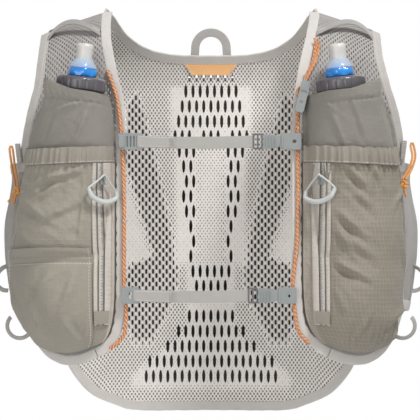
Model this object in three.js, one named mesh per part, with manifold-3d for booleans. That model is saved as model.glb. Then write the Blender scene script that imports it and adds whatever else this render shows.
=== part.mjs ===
// Running hydration vest, held in the shape it has when worn.
// Millimetres, +Z up. The origin lies between the shoulders, on the line of the shoulder seams.
// The fronts face -Y, and left and right are the viewer's, so left is -X.

import * as THREE from "three";
import { mergeVertices } from "three/addons/utils/BufferGeometryUtils.js";
import Module from "manifold-3d";

const wasm = await Module();
wasm.setup();

// Driving sizes of the worn form.
const halfWidth = 214;
const halfDepth = 92;
const frontLength = 350;
const backLength = 414;
const shoulderRound = 80;
const shoulderSlope = 18;
const formPower = 2.4;
const neckHalf = 112;
const strapHalf = 167;

// Cloth, tape and clearance.
const clothWall = 1.6;
const skinWall = 1.2;
const gap = 0.4;
const layerGap = 0.9;
const tapeWidth = 8.5;
const tapeThick = 2.4;
const webThick = 1.5;

// Flasks, each with a round cap, a turning lock collar and a bite valve.
const capRadius = 25;
const capHeight = 15;
const capDrop = 87;
const flaskReach = 131;
const flaskLength = 150;
const flaskHalfWidth = 25;
const flaskHalfDepth = 20;
const flaskTilt = THREE.MathUtils.degToRad(6);
const neckRadius = 9;
const lockRadius = 14;
const lockHeight = 7;
const lockGap = 0.5;
const valveRadius = 8.8;
const valveHeight = 33;

// Pockets.
const sleeveTop = 86;
const sleeveBottom = 252;
const sleeveOuterReach = 1.72;
const pocketTop = 141;
const stashTop = 242;
const cuffHeight = 16;
const pocketBulge = 32;

// Zips and their pulls.
const zipThick = 1.6;
const zipBottom = 320;
const gripRadius = 2.6;
const pullCordRadius = 1;

// Cords.
const railRadius = 2;
const drawRadius = 1.2;
const knotRadius = 5;

// Chest straps.
const chestWeb = 12;
const upperStrapDrop = 136;
const lowerStrapDrop = 291;
const clipThick = 3.4;
const clipHeight = 17;
const sliderHeight = 16;
const buckleHeight = 15;
const buckleThick = 5.5;

// Whistle, adjuster tabs, hang loop, shoulder arches and side loops.
const whistleWidth = 9.5;
const whistleThick = 6;
const whistleLength = 33;
const tabWidth = 7;
const tabThick = 2;
const tabHeight = 20;
const loopReach = 17;
const loopWidth = 9;
const loopFoot = 60;
const bandWidth = 5.4;
const bandArch = 9;
const sideLoopWidth = 5;
const sideLoopHalf = 12;

// Knitted back: long gaps in rows.
const holeWidth = 3.3;
const holeHeight = 14.5;
const holePitch = 7.8;
const rowPitch = 16.3;

// Half width of the worn form down the body: shares of backLength and of halfWidth.
const formRows = [
  { at: 0.0, wide: 1.02 },
  { at: 0.27, wide: 1.02 },
  { at: 0.36, wide: 0.985 },
  { at: 0.41, wide: 0.965 },
  { at: 0.46, wide: 0.975 },
  { at: 0.53, wide: 1.0 },
  { at: 0.6, wide: 1.0 },
  { at: 0.65, wide: 0.99 },
  { at: 0.73, wide: 0.965 },
  { at: 0.78, wide: 0.93 },
  { at: 0.84, wide: 0.88 },
  { at: 1.05, wide: 0.8 },
];

// Edges of each front, from the shoulder seam to the hem: shares of its run and of halfWidth.
const frontRows = [
  { at: 0.0, innerLeft: 0.523, outerLeft: 0.78, innerRight: 0.523, outerRight: 0.78 },
  { at: 0.09, innerLeft: 0.515, outerLeft: 0.79, innerRight: 0.49, outerRight: 0.785 },
  { at: 0.19, innerLeft: 0.485, outerLeft: 0.805, innerRight: 0.45, outerRight: 0.818 },
  { at: 0.27, innerLeft: 0.453, outerLeft: 0.835, innerRight: 0.43, outerRight: 0.855 },
  { at: 0.35, innerLeft: 0.443, outerLeft: 0.863, innerRight: 0.422, outerRight: 0.883 },
  { at: 0.46, innerLeft: 0.441, outerLeft: 0.893, innerRight: 0.421, outerRight: 0.903 },
  { at: 0.54, innerLeft: 0.441, outerLeft: 0.93, innerRight: 0.421, outerRight: 0.916 },
  { at: 0.66, innerLeft: 0.441, outerLeft: 0.95, innerRight: 0.421, outerRight: 0.926 },
  { at: 0.76, innerLeft: 0.441, outerLeft: 0.95, innerRight: 0.421, outerRight: 0.926 },
  { at: 0.86, innerLeft: 0.443, outerLeft: 0.935, innerRight: 0.425, outerRight: 0.915 },
  { at: 0.93, innerLeft: 0.453, outerLeft: 0.893, innerRight: 0.44, outerRight: 0.89 },
  { at: 0.97, innerLeft: 0.475, outerLeft: 0.855, innerRight: 0.478, outerRight: 0.875 },
  { at: 1.0, innerLeft: 0.515, outerLeft: 0.822, innerRight: 0.53, outerRight: 0.86 },
];

// Front hem across the front, as a share of frontLength.
const frontHemRows = [
  { at: 0.0, drop: 0.978 },
  { at: 0.12, drop: 0.99 },
  { at: 0.35, drop: 1.008 },
  { at: 0.6, drop: 1.011 },
  { at: 0.85, drop: 0.99 },
  { at: 1.0, drop: 0.96 },
];

// Edge of the back down one side, and its neckline and hem across one half.
const backRows = [
  { at: 0.0, wide: 0.78 },
  { at: 0.06, wide: 0.73 },
  { at: 0.13, wide: 0.695 },
  { at: 0.22, wide: 0.685 },
  { at: 0.3, wide: 0.71 },
  { at: 0.36, wide: 0.79 },
  { at: 0.4, wide: 0.86 },
  { at: 0.5, wide: 0.88 },
  { at: 0.68, wide: 0.87 },
  { at: 0.75, wide: 0.83 },
  { at: 0.82, wide: 0.755 },
  { at: 0.87, wide: 0.7 },
  { at: 0.91, wide: 0.66 },
  { at: 0.945, wide: 0.61 },
  { at: 0.97, wide: 0.55 },
  { at: 1.0, wide: 0.42 },
];
const necklineRows = [
  { at: 0.0, drop: 0.111 },
  { at: 0.2, drop: 0.11 },
  { at: 0.37, drop: 0.1 },
  { at: 0.47, drop: 0.084 },
  { at: 0.57, drop: 0.056 },
  { at: 0.64, drop: 0.022 },
  { at: 0.671, drop: 0.0 },
];
const backHemRows = [
  { at: 0.0, drop: 1.0 },
  { at: 0.8, drop: 1.0 },
  { at: 1.0, drop: 0.995 },
];

// Stations along the sheets: the first ones follow the roll over the shoulder.
const frontDown = [0, 0.008, 0.032, 0.07, 0.12, 0.19, 0.28, 0.37, 0.46, 0.6, 0.74, 0.88, 0.94, 0.975, 1];
const frontAcross = [0, 0.14, 0.36, 0.6, 0.82, 1];
const backDown = [0, 0.008, 0.03, 0.065, 0.12, 0.2, 0.29, 0.385, 0.5017, 0.6183, 0.735, 0.82, 0.88, 0.93, 0.965, 1];
const backHalf = [0.18, 0.36, 0.5, 0.6, 0.671, 0.83, 1];
const backAcross = [...backHalf.map((share) => -share).reverse(), 0, ...backHalf];
const sideFront = [0.46, 0.88];
const sideBack = [0.385, 0.735];
const sideSteps = 3;
const sideShares = Array.from({ length: sideSteps + 1 }, (_, index) => index / sideSteps);
const flankStops = sideShares.slice(1, -1);

// Rows of long gaps in the knitted back: place down in rows, distance of the first gap from the
// centre line in pitches, and how many stand side by side on each side.
const holeRows = [
  { row: 0, near: 0.5, count: 4 },
  { row: 1, near: 0, count: 5 },
  { row: 2, near: 0.5, count: 5 },
  { row: 3, near: 0, count: 2 },
  { row: 3, near: 3, count: 3 },
  { row: 4, near: 2.4, count: 3 },
  { row: 5, near: 2.8, count: 2 },
  { row: 6, near: 2.4, count: 2 },
  { row: 7, near: 2.8, count: 2 },
  { row: 8, near: 2.4, count: 2 },
  { row: 9, near: 2.8, count: 1 },
  { row: 10, near: 2.4, count: 1 },
  { row: 11, near: 2.8, count: 1 },
  { row: 12, near: 0.5, count: 3 },
  { row: 13, near: 0, count: 3 },
  { row: 15, near: 0, count: 3 },
  { row: 16, near: 0.5, count: 3 },
  { row: 17, near: 0, count: 4 },
  { row: 18, near: 0.5, count: 5 },
  { row: 19, near: 0, count: 5 },
];
const firstHoleDrop = 76;

// Thickness of the filled flask sleeve down the front, and its reach from the flask's axis towards
// the middle of the vest: shares of sleeveBottom and of capRadius.
const sleeveRows = [
  { at: 0.33, thick: 2.32, inner: 1.38 },
  { at: 0.38, thick: 2.1, inner: 1.42 },
  { at: 0.44, thick: 1.85, inner: 1.5 },
  { at: 0.56, thick: 1.45, inner: 1.6 },
  { at: 0.68, thick: 1.2, inner: 1.65 },
  { at: 0.8, thick: 1.0, inner: 1.65 },
  { at: 0.9, thick: 0.76, inner: 1.65 },
  { at: 0.97, thick: 0.4, inner: 1.65 },
  { at: 1.0, thick: 0.0, inner: 1.65 },
];

// Extra fullness of the zip pocket down the front, as shares of frontLength and of pocketBulge.
const bulgeRows = [
  { at: 0.38, full: 0.02 },
  { at: 0.5, full: 0.1 },
  { at: 0.6, full: 0.3 },
  { at: 0.68, full: 0.64 },
  { at: 0.74, full: 0.95 },
  { at: 0.83, full: 1.0 },
  { at: 0.9, full: 0.8 },
  { at: 0.955, full: 0.42 },
  { at: 1.01, full: 0.0 },
];

// Outline of a flask body: shares of flaskLength, flaskHalfWidth and flaskHalfDepth.
const flaskRows = [
  { at: 0.0, wide: 0.75, deep: 0.92 },
  { at: 0.12, wide: 0.95, deep: 0.9 },
  { at: 0.35, wide: 1.0, deep: 0.62 },
  { at: 0.6, wide: 1.0, deep: 0.44 },
  { at: 0.8, wide: 0.98, deep: 0.32 },
  { at: 0.93, wide: 0.86, deep: 0.2 },
  { at: 1.0, wide: 0.7, deep: 0.08 },
];

const sides = [
  { name: "left", sign: -1, inner: "innerLeft", outer: "outerLeft", zipShare: 0.045 },
  { name: "right", sign: 1, inner: "innerRight", outer: "outerRight", zipShare: 0.09 },
];

// Colours and finishes.
const finish = (color, roughness = 0.85) => new THREE.MeshStandardMaterial({ color, roughness, metalness: 0 });
const knit = finish(0xd6d0ca);
const cloth = finish(0x9a9388);
const tape = finish(0xbfbab2);
const webbing = finish(0xafaaa4);
const hardGrey = finish(0xa5acac, 0.45);
const capGrey = finish(0x55505a, 0.35);
const lockBlue = finish(0x0a78d2, 0.3);
const clearSoft = finish(0xd4d3d0, 0.3);
const orangeCord = finish(0xeb9a50, 0.8);
const darkCloth = finish(0x4a453f);

const lerp = THREE.MathUtils.lerp;
const vest = new THREE.Group();

// Smooth curve through the rows of a table, read at one place.
function follow(rows, place, column) {
  const last = rows.length - 1;
  const spot = Math.min(Math.max(place, rows[0].at), rows[last].at);
  let low = 0;
  while (low < last - 1 && spot > rows[low + 1].at) low += 1;
  const slope = (row) => {
    const before = rows[Math.max(row - 1, 0)];
    const after = rows[Math.min(row + 1, last)];
    return (after[column] - before[column]) / (after.at - before.at);
  };
  const from = rows[low];
  const to = rows[low + 1];
  const span = to.at - from.at;
  const share = (spot - from.at) / span;
  const ease = share * share * (3 - 2 * share);
  const bend = span * share * (1 - share) * ((1 - share) * slope(low) - share * slope(low + 1));
  return lerp(from[column], to[column], ease) + bend;
}

// Height of the shoulder seam over x.
function ridgeAt(x) {
  const share = (Math.abs(x) - neckHalf) / (strapHalf - neckHalf);
  return -shoulderSlope * Math.max(0, share);
}

function wideAt(z) {
  return halfWidth * follow(formRows, -z / backLength, "wide");
}

// Distance of the cloth from the middle plane, rolled in at the shoulder.
function depthAt(x, z) {
  const across = Math.min(1, Math.abs(x) / wideAt(z));
  const round = (1 - across ** formPower) ** (1 / formPower);
  const drop = Math.min(1, Math.max(0, (ridgeAt(x) - z) / shoulderRound));
  return halfDepth * round * Math.sqrt(1 - (1 - drop) ** 2);
}

// A place on one front: across from its inner to its outer edge, down from the shoulder seam.
function frontSpot(side) {
  const innerTop = frontRows[0][side.inner] * halfWidth;
  const outerTop = frontRows[0][side.outer] * halfWidth;
  return (across, down) => {
    const inner = follow(frontRows, down, side.inner);
    const outer = follow(frontRows, down, side.outer);
    const x = side.sign * halfWidth * lerp(inner, outer, across);
    const top = ridgeAt(lerp(innerTop, outerTop, across));
    const bottom = -frontLength * follow(frontHemRows, across, "drop");
    const z = lerp(top, bottom, down);
    return new THREE.Vector3(x, -Math.max(gap / 2, depthAt(x, z)), z);
  };
}

// How far down a front, as a share of its run, a height lies.
function downTo(side, across, z) {
  const inner = frontRows[0][side.inner];
  const outer = frontRows[0][side.outer];
  const top = ridgeAt(halfWidth * lerp(inner, outer, across));
  const bottom = -frontLength * follow(frontHemRows, across, "drop");
  return (top - z) / (top - bottom);
}

function backSpot(across, down) {
  const share = Math.abs(across);
  const x = across * halfWidth * follow(backRows, down, "wide");
  const onStrap = share > necklineRows[necklineRows.length - 1].at;
  const neckline = -backLength * follow(necklineRows, share, "drop");
  const top = onStrap ? ridgeAt(share * strapHalf) : neckline;
  const bottom = -backLength * follow(backHemRows, share, "drop");
  const z = lerp(top, bottom, down);
  return new THREE.Vector3(x, Math.max(gap / 2, depthAt(x, z)), z);
}

// A place on the stretch panel under an arm, between the front's and the back's edge.
function sideSpot(side) {
  const front = frontSpot(side);
  const inset = 0.006;
  return (across, down) => {
    const along = lerp(inset, 1 - inset, across);
    const start = front(1, lerp(sideFront[0], sideFront[1], down));
    const end = backSpot(side.sign, lerp(sideBack[0], sideBack[1], down));
    const z = lerp(start.z, end.z, along);
    const turn = (point) => Math.asin((Math.abs(point.x) / wideAt(point.z)) ** (formPower / 2));
    const angle = lerp(turn(start), Math.PI - turn(end), along);
    const x = wideAt(z) * Math.abs(Math.sin(angle)) ** (2 / formPower);
    const y = -halfDepth * Math.sign(Math.cos(angle)) * Math.abs(Math.cos(angle)) ** (2 / formPower);
    return new THREE.Vector3(side.sign * x, y, z);
  };
}

// Outward direction of the worn surface at a spot.
function normalAt(spot, across, down) {
  const step = 0.004;
  const low = (value) => Math.max(value - step, -1);
  const along = spot(across + step, down).sub(spot(low(across), down));
  const below = spot(across, Math.min(down + step, 1)).sub(spot(across, Math.max(down - step, 0)));
  const normal = along.cross(below).normalize();
  const place = spot(across, down);
  const outside = new THREE.Vector3(place.x * 0.2, place.y, 40);
  return normal.dot(outside) < 0 ? normal.negate() : normal;
}

function lifted(spot, across, down, lift) {
  return spot(across, down).addScaledVector(normalAt(spot, across, down), lift);
}

// Indexed geometry with its faces turned outwards.
function closedGeometry(points, faces) {
  let volume = 0;
  for (const [a, b, c] of faces) {
    volume += points[a].dot(points[b].clone().cross(points[c]));
  }
  const turned = volume < 0 ? faces.map(([a, b, c]) => [a, c, b]) : faces;
  const geometry = new THREE.BufferGeometry();
  geometry.setAttribute("position", new THREE.Float32BufferAttribute(points.flatMap((p) => p.toArray()), 3));
  geometry.setIndex(turned.flat());
  return geometry;
}

// A wall of cloth over a grid of places, from one lift to another. A row is a share down, or a
// function that gives its share down at each place across.
function sheetGeometry(spot, across, down, low, high) {
  const columns = across.length;
  const rows = down.length;
  const liftOf = (value, u, v) => (typeof value === "function" ? value(u, v) : value);
  const points = [];
  for (const layer of [low, high]) {
    for (const row of down) {
      for (const u of across) {
        const v = typeof row === "function" ? row(u) : row;
        points.push(lifted(spot, u, v, liftOf(layer, u, v)));
      }
    }
  }
  const at = (layer, row, column) => layer * rows * columns + row * columns + column;
  const faces = [];
  const quad = (a, b, c, d) => faces.push([a, b, c], [a, c, d]);
  for (let row = 0; row < rows - 1; row += 1) {
    for (let column = 0; column < columns - 1; column += 1) {
      quad(at(0, row, column), at(0, row, column + 1), at(0, row + 1, column + 1), at(0, row + 1, column));
      quad(at(1, row, column), at(1, row + 1, column), at(1, row + 1, column + 1), at(1, row, column + 1));
    }
  }
  for (let column = 0; column < columns - 1; column += 1) {
    quad(at(0, 0, column), at(1, 0, column), at(1, 0, column + 1), at(0, 0, column + 1));
    quad(at(0, rows - 1, column), at(0, rows - 1, column + 1), at(1, rows - 1, column + 1), at(1, rows - 1, column));
  }
  for (let row = 0; row < rows - 1; row += 1) {
    quad(at(0, row, 0), at(0, row + 1, 0), at(1, row + 1, 0), at(1, row, 0));
    quad(at(0, row, columns - 1), at(1, row, columns - 1), at(1, row + 1, columns - 1), at(0, row + 1, columns - 1));
  }
  return closedGeometry(points, faces);
}

// A strip lofted through sections with the same number of corners, open or as a ring.
function loftGeometry(sections, ring = false) {
  const corners = sections[0].length;
  const points = sections.flat();
  const faces = [];
  const count = sections.length;
  for (let row = 0; row < (ring ? count : count - 1); row += 1) {
    for (let corner = 0; corner < corners; corner += 1) {
      const next = (corner + 1) % corners;
      const below = ((row + 1) % count) * corners;
      faces.push([row * corners + corner, row * corners + next, below + next]);
      faces.push([row * corners + corner, below + next, below + corner]);
    }
  }
  if (!ring) {
    const end = (count - 1) * corners;
    for (let corner = 1; corner < corners - 1; corner += 1) {
      faces.push([0, corner + 1, corner], [end, end + corner, end + corner + 1]);
    }
  }
  return closedGeometry(points, faces);
}

// Tape along the edge of a sheet. Each stop is a spot function with its two shares. The stops past
// both ends of an open tape only turn its ends square to the next tape.
function tapeGeometry(stops, ring = false, ends = []) {
  const middle = clothWall / 2;
  const count = stops.length;
  const edge = stops.map(([spot, u, v]) => lifted(spot, u, v, middle));
  const past = ends.map((stop) => (stop ? lifted(...stop, middle) : null));
  const sections = stops.map(([spot, u, v], index) => {
    const last = count - 1;
    const before = index > 0 ? edge[index - 1] : (ring && edge[last]) || past[0] || edge[0];
    const after = index < last ? edge[index + 1] : (ring && edge[0]) || past[1] || edge[last];
    const normal = normalAt(spot, u, v);
    const along = after.clone().sub(before).normalize();
    const out = normal.clone().cross(along).normalize();
    const inward = spot(lerp(u, u < 0 ? -0.5 : 0.5, 0.04), lerp(v, 0.5, 0.04)).sub(spot(u, v));
    if (out.dot(inward) > 0) out.negate();
    const corner = (far, up) => edge[index].clone().addScaledVector(out, far).addScaledVector(normal, up);
    const half = tapeThick / 2;
    return [corner(gap, -half), corner(gap, half), corner(gap + tapeWidth, half), corner(gap + tapeWidth, -half)];
  });
  return loftGeometry(sections, ring);
}

function circleShape(radius, count) {
  const shape = new THREE.Shape();
  for (let corner = 0; corner < count; corner += 1) {
    const turn = (corner / count) * 2 * Math.PI;
    const x = radius * Math.cos(turn);
    const y = radius * Math.sin(turn);
    if (corner === 0) shape.moveTo(x, y);
    else shape.lineTo(x, y);
  }
  shape.closePath();
  return shape;
}

function tubeGeometry(points, radius, steps, count = 8) {
  const extrudePath = new THREE.CatmullRomCurve3(points);
  return new THREE.ExtrudeGeometry(circleShape(radius, count), { steps, extrudePath, bevelEnabled: false });
}

function slabGeometry(width, depth, height) {
  return new THREE.BoxGeometry(width, depth, height);
}

function manifoldOf(geometry) {
  const bare = geometry.clone();
  bare.deleteAttribute("normal");
  bare.deleteAttribute("uv");
  const merged = mergeVertices(bare, 0.0001);
  return new wasm.Manifold(new wasm.Mesh({
    numProp: 3,
    vertProperties: Float32Array.from(merged.attributes.position.array),
    triVerts: Uint32Array.from(merged.index.array),
  }));
}

function geometryOf(manifold) {
  const mesh = manifold.getMesh();
  const geometry = new THREE.BufferGeometry();
  geometry.setAttribute("position", new THREE.BufferAttribute(Float32Array.from(mesh.vertProperties), 3));
  geometry.setIndex(new THREE.BufferAttribute(Uint32Array.from(mesh.triVerts), 1));
  return geometry;
}

function joined(...geometries) {
  return geometryOf(geometries.map(manifoldOf).reduce((whole, piece) => whole.add(piece)));
}

function add(name, geometry, material, parent = vest) {
  const mesh = new THREE.Mesh(geometry, material);
  mesh.name = name;
  parent.add(mesh);
  return mesh;
}

// A point on the front half of the form, by its x and height and a lift off the cloth.
function frontPoint(x, z, lift) {
  const spot = (u, v) => new THREE.Vector3(u, -depthAt(u, v), v);
  const step = 0.5;
  const along = spot(x + step, z).sub(spot(x - step, z));
  const below = spot(x, z - step).sub(spot(x, z + step));
  const normal = along.cross(below).normalize();
  if (normal.y > 0) normal.negate();
  return spot(x, z).addScaledVector(normal, lift);
}

// The knitted back, cut through by its rows of long gaps.
function longGap(x, drop) {
  const shape = new THREE.Shape();
  const shoulder = 0.3;
  shape.moveTo(0, 0.5 * holeHeight);
  shape.lineTo(0.5 * holeWidth, shoulder * holeHeight);
  shape.lineTo(0.5 * holeWidth, -shoulder * holeHeight);
  shape.lineTo(0, -0.5 * holeHeight);
  shape.lineTo(-0.5 * holeWidth, -shoulder * holeHeight);
  shape.lineTo(-0.5 * holeWidth, shoulder * holeHeight);
  shape.closePath();
  const cutter = new THREE.ExtrudeGeometry(shape, { depth: halfDepth, bevelEnabled: false });
  cutter.rotateX(Math.PI / 2);
  cutter.translate(x, 1.5 * halfDepth, -drop);
  return cutter;
}

function backPanel() {
  let panel = manifoldOf(sheetGeometry(backSpot, backAcross, backDown, 0, clothWall));
  const cutters = [];
  for (const { row, near, count } of holeRows) {
    for (let step = 0; step < count; step += 1) {
      const x = (near + step) * holePitch;
      const drop = firstHoleDrop + row * rowPitch;
      cutters.push(longGap(x, drop));
      if (x > 0) cutters.push(longGap(-x, drop));
    }
  }
  for (const cutter of cutters) panel = panel.subtract(manifoldOf(cutter));
  add("back_panel", geometryOf(panel), knit);
}

// The plain cloth behind the knitted back, full in its middle.
function backPocket() {
  const fullness = 5;
  const across = backAcross.filter((share) => Math.abs(share) <= 0.6);
  const down = backDown.filter((share) => share >= 0.2 && share < 1);
  const round = (u, v) => Math.cos(0.5 * Math.PI * u / 0.6) * Math.sin(Math.PI * (v - 0.2) / 0.77);
  const low = (u, v) => clothWall + gap + fullness * Math.max(0, round(u, v));
  add("back_pocket", sheetGeometry(backSpot, across, down, low, (u, v) => low(u, v) + skinWall), darkCloth);
}

function bindings() {
  const neckStops = backAcross.filter((share) => Math.abs(share) < 0.68).map((share) => [backSpot, share, 0]);
  const past = sides.map((side) => [frontSpot(side), 0, frontDown[1]]);
  add("neck_binding", tapeGeometry(neckStops, false, past), tape);
  const hemStops = [];
  for (const side of sides) {
    const front = frontSpot(side);
    const flank = sideSpot(side);
    const edgeStops = frontDown.map((down) => [front, 0, down]);
    edgeStops.push([front, frontAcross[1], 1]);
    const behind = [backSpot, side.sign * backHalf[3], 0];
    add(`edge_binding_${side.name}`, tapeGeometry(edgeStops, false, [behind]), tape);
    const inner = (rows) => rows.filter((share) => share > 0);
    const armStops = [
      ...frontDown.filter((down) => down <= sideFront[0]).map((down) => [front, 1, down]),
      ...flankStops.map((share) => [flank, share, 0]),
      ...inner(backDown.filter((down) => down <= sideBack[0])).reverse().map((down) => [backSpot, side.sign, down]),
    ];
    add(`armhole_binding_${side.name}`, tapeGeometry(armStops, true), tape);
    const run = [
      [front, 0.16, 1],
      ...frontAcross.slice(2).map((share) => [front, share, 1]),
      ...frontDown.filter((down) => down >= sideFront[1] && down < 1).reverse().map((down) => [front, 1, down]),
      ...flankStops.map((share) => [flank, share, 1]),
      ...backDown.filter((down) => down >= sideBack[1] && down < 1).map((down) => [backSpot, side.sign, down]),
    ];
    hemStops.push(run);
  }
  const hemColumns = backAcross.map((share) => [backSpot, share, 1]);
  const right = hemStops[1].slice().reverse();
  add("hem_binding", tapeGeometry([...hemStops[0], ...hemColumns, ...right]), tape);
}

function fronts() {
  for (const side of sides) {
    const front = frontSpot(side);
    const flank = sideSpot(side);
    add(`front_base_${side.name}`, sheetGeometry(front, frontAcross, frontDown, 0, clothWall), knit);
    add(`side_mesh_${side.name}`, sheetGeometry(flank, sideShares, sideShares, 0, clothWall), knit);
  }
}

// Lift of the flask sleeve over the front, which bulges round the flask.
function sleeveLift(side, across, down) {
  const place = frontSpot(side)(across, down);
  const level = -place.z / sleeveBottom;
  const thick = capRadius * follow(sleeveRows, level, "thick");
  const centre = flaskReach + Math.tan(flaskTilt) * (-place.z - capDrop);
  const offset = Math.abs(place.x) - centre;
  const reach = capRadius * (offset < 0 ? follow(sleeveRows, level, "inner") : sleeveOuterReach);
  const round = Math.max(0, 1 - Math.min(1, Math.abs(offset) / reach) ** 2.2) ** 0.5;
  return clothWall + layerGap + thick * round;
}

// Shares across a front at which its pocket layers have their folds, the zip's edges among them.
function layerAcross(side) {
  const zipShares = [0, 0.065, 0.13].map((share) => side.zipShare + share);
  return [0.02, ...zipShares, 0.34, 0.52, 0.72, 0.88, 0.97];
}

// Heights down the front at which the pocket layers have their folds.
const foldDrops = [0.297, 0.349, 0.514, 0.6, 0.814, 0.943].map((share) => share * frontLength);
const layerDrops = [...foldDrops, pocketTop, pocketTop + cuffHeight, stashTop, sleeveBottom, zipBottom]
  .sort((above, below) => above - below);
const layerEnd = 0.985;

// Share down a front of a height. Below the last fold the rows settle onto the hem.
function layerDown(side, across, drop) {
  const last = layerDrops[layerDrops.length - 1];
  if (drop <= last) return downTo(side, across, -drop);
  return lerp(downTo(side, across, -last), layerEnd, (drop - last) / (frontLength - last));
}

// A layer over a front between two heights, with a row on each fold that lies between them.
function layerGeometry(side, across, from, to, low, thick) {
  const drops = [from, ...layerDrops.filter((drop) => drop > from && drop < to), to];
  const rows = drops.map((drop) => (u) => layerDown(side, u, drop));
  const lift = (u, v) => low(side, u, v);
  return sheetGeometry(frontSpot(side), across, rows, lift, (u, v) => lift(u, v) + thick);
}

function flaskSleeves() {
  for (const side of sides) {
    const geometry = layerGeometry(side, layerAcross(side), sleeveTop, sleeveBottom, sleeveLift, skinWall);
    add(`flask_sleeve_${side.name}`, geometry, cloth);
  }
}

// Lift of the zip pocket, which lies over the sleeve and has its own fullness.
function pocketLift(side, across, down) {
  const place = frontSpot(side)(across, down);
  const full = pocketBulge * follow(bulgeRows, -place.z / frontLength, "full");
  const share = Math.min(1, Math.max(0, (across - 0.02) / 0.96));
  const round = Math.max(0, Math.sin(Math.PI * share)) ** (share < 0.5 ? 1.15 : 0.8);
  return sleeveLift(side, across, down) + skinWall + gap + full * round;
}

function pockets() {
  for (const side of sides) {
    const across = layerAcross(side);
    const cuffEnd = pocketTop + cuffHeight;
    const cuff = layerGeometry(side, across, pocketTop, cuffEnd - gap, pocketLift, 2 * skinWall);
    add(`pocket_cuff_${side.name}`, cuff, cloth);
    const pocket = layerGeometry(side, across, cuffEnd, frontLength, pocketLift, skinWall);
    add(`zip_pocket_${side.name}`, pocket, cloth);
  }
}

// The flat pocket on the lower left, over the zip pocket.
function stashPocket() {
  const side = sides[0];
  const [zipEdge, ...rest] = layerAcross(side).slice(3);
  const across = [zipEdge + 0.012, ...rest];
  const lift = (...place) => pocketLift(...place) + skinWall + gap;
  add("stash_pocket_left", layerGeometry(side, across, stashTop, frontLength, lift, skinWall), cloth);
}

// A lathe profile closed on the axis.
function turned(profile, count) {
  return new THREE.LatheGeometry(profile.map(([radius, height]) => new THREE.Vector2(radius, height)), count)
    .rotateX(Math.PI / 2);
}

function flasks() {
  for (const side of sides) {
    const group = new THREE.Group();
    const seat = depthAt(flaskReach, -capDrop) + clothWall + 2 * gap + capRadius;
    group.position.set(side.sign * flaskReach, -seat, -capDrop);
    const slope = (depthAt(flaskReach - 10, -capDrop) - depthAt(flaskReach + 10, -capDrop)) / 20;
    group.rotation.set(0, -side.sign * flaskTilt, side.sign * Math.atan(slope));
    vest.add(group);
    const body = flaskRows.map(({ at, wide, deep }) => {
      const section = [];
      const count = 12;
      for (let corner = 0; corner < count; corner += 1) {
        const turn = (corner / count) * 2 * Math.PI;
        const x = flaskHalfWidth * wide * Math.cos(turn);
        const y = capRadius - flaskHalfDepth * deep + flaskHalfDepth * deep * Math.sin(turn);
        section.push(new THREE.Vector3(x, y - gap, -gap - at * flaskLength));
      }
      return section;
    });
    add(`flask_${side.name}`, loftGeometry(body), clearSoft, group);
    const cap = [[0, 0], [0.86 * capRadius, 0], [capRadius, 3], [capRadius, 0.8 * capHeight],
      [0.94 * capRadius, capHeight], [0, capHeight]];
    add(`flask_cap_${side.name}`, turned(cap, 14), capGrey, group);
    const lockBase = capHeight + lockGap;
    const collar = [[0, lockBase], [lockRadius, lockBase], [lockRadius, lockBase + lockHeight],
      [neckRadius + 1, lockBase + lockHeight + 4], [0, lockBase + lockHeight + 4]];
    add(`valve_lock_${side.name}`, turned(collar, 12), lockBlue, group);
    const valveBase = lockBase + lockHeight + 4 + gap;
    const top = valveBase + valveHeight - lockHeight - 4;
    const valve = [[0, valveBase], [neckRadius, valveBase], [valveRadius, top - 3], [valveRadius - 1.5, top],
      [0, top]];
    add(`bite_valve_${side.name}`, turned(valve, 10), clearSoft, group);
  }
}

const zipLift = (...place) => pocketLift(...place) + skinWall + gap;

function zips() {
  for (const side of sides) {
    const across = layerAcross(side).slice(1, 4);
    const top = pocketTop + cuffHeight;
    add(`zip_${side.name}`, layerGeometry(side, across, top, zipBottom, zipLift, zipThick), cloth);
    zipSlider(side);
  }
}

// A place over the zip's face, by its share across and drop, and the square frame of the face there.
function zipFace(side, across, drop, lift) {
  const face = (u, height) => {
    const down = layerDown(side, u, height);
    return lifted(frontSpot(side), u, down, zipLift(side, u, down) + zipThick);
  };
  const along = face(across + 0.05, drop).sub(face(across - 0.05, drop)).multiplyScalar(side.sign).normalize();
  const below = face(across, drop + 5).sub(face(across, drop - 5));
  const out = below.cross(along).normalize();
  const inward = out.clone().negate();
  const frame = new THREE.Matrix4().makeBasis(along, inward, along.clone().cross(inward));
  return { place: face(across, drop).addScaledVector(out, lift), frame };
}

function zipSlider(side) {
  const middle = side.zipShare + 0.065;
  const sliderDrop = 175;
  const sliderThick = 3;
  const sliderSeat = 1.1;
  const slider = add(`zip_slider_${side.name}`, slabGeometry(7, sliderThick, 9), hardGrey);
  const seat = zipFace(side, middle, sliderDrop, sliderSeat + sliderThick / 2);
  slider.position.copy(seat.place);
  slider.quaternion.setFromRotationMatrix(seat.frame);
  const route = [
    { across: -0.11, down: 14 },
    { across: -0.09, down: 23 },
    { across: 0.02, down: 28 },
    { across: 0.13, down: 21 },
    { across: 0.16, down: 11 },
  ];
  const lift = sliderSeat + sliderThick + gap / 2 + gripRadius;
  const stop = (across, down) => zipFace(side, middle + across, sliderDrop + down, lift).place;
  const grip = route.map(({ across, down }) => stop(across, down));
  const apex = stop(0, -7);
  const strand = (end) => new THREE.ExtrudeGeometry(circleShape(pullCordRadius, 4), {
    steps: 1, extrudePath: new THREE.LineCurve3(apex, end), bevelEnabled: false });
  const pull = joined(tubeGeometry(grip, gripRadius, 6, 6), strand(grip[0]), strand(grip[grip.length - 1]));
  add(`zip_pull_${side.name}`, pull, hardGrey);
}

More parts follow.
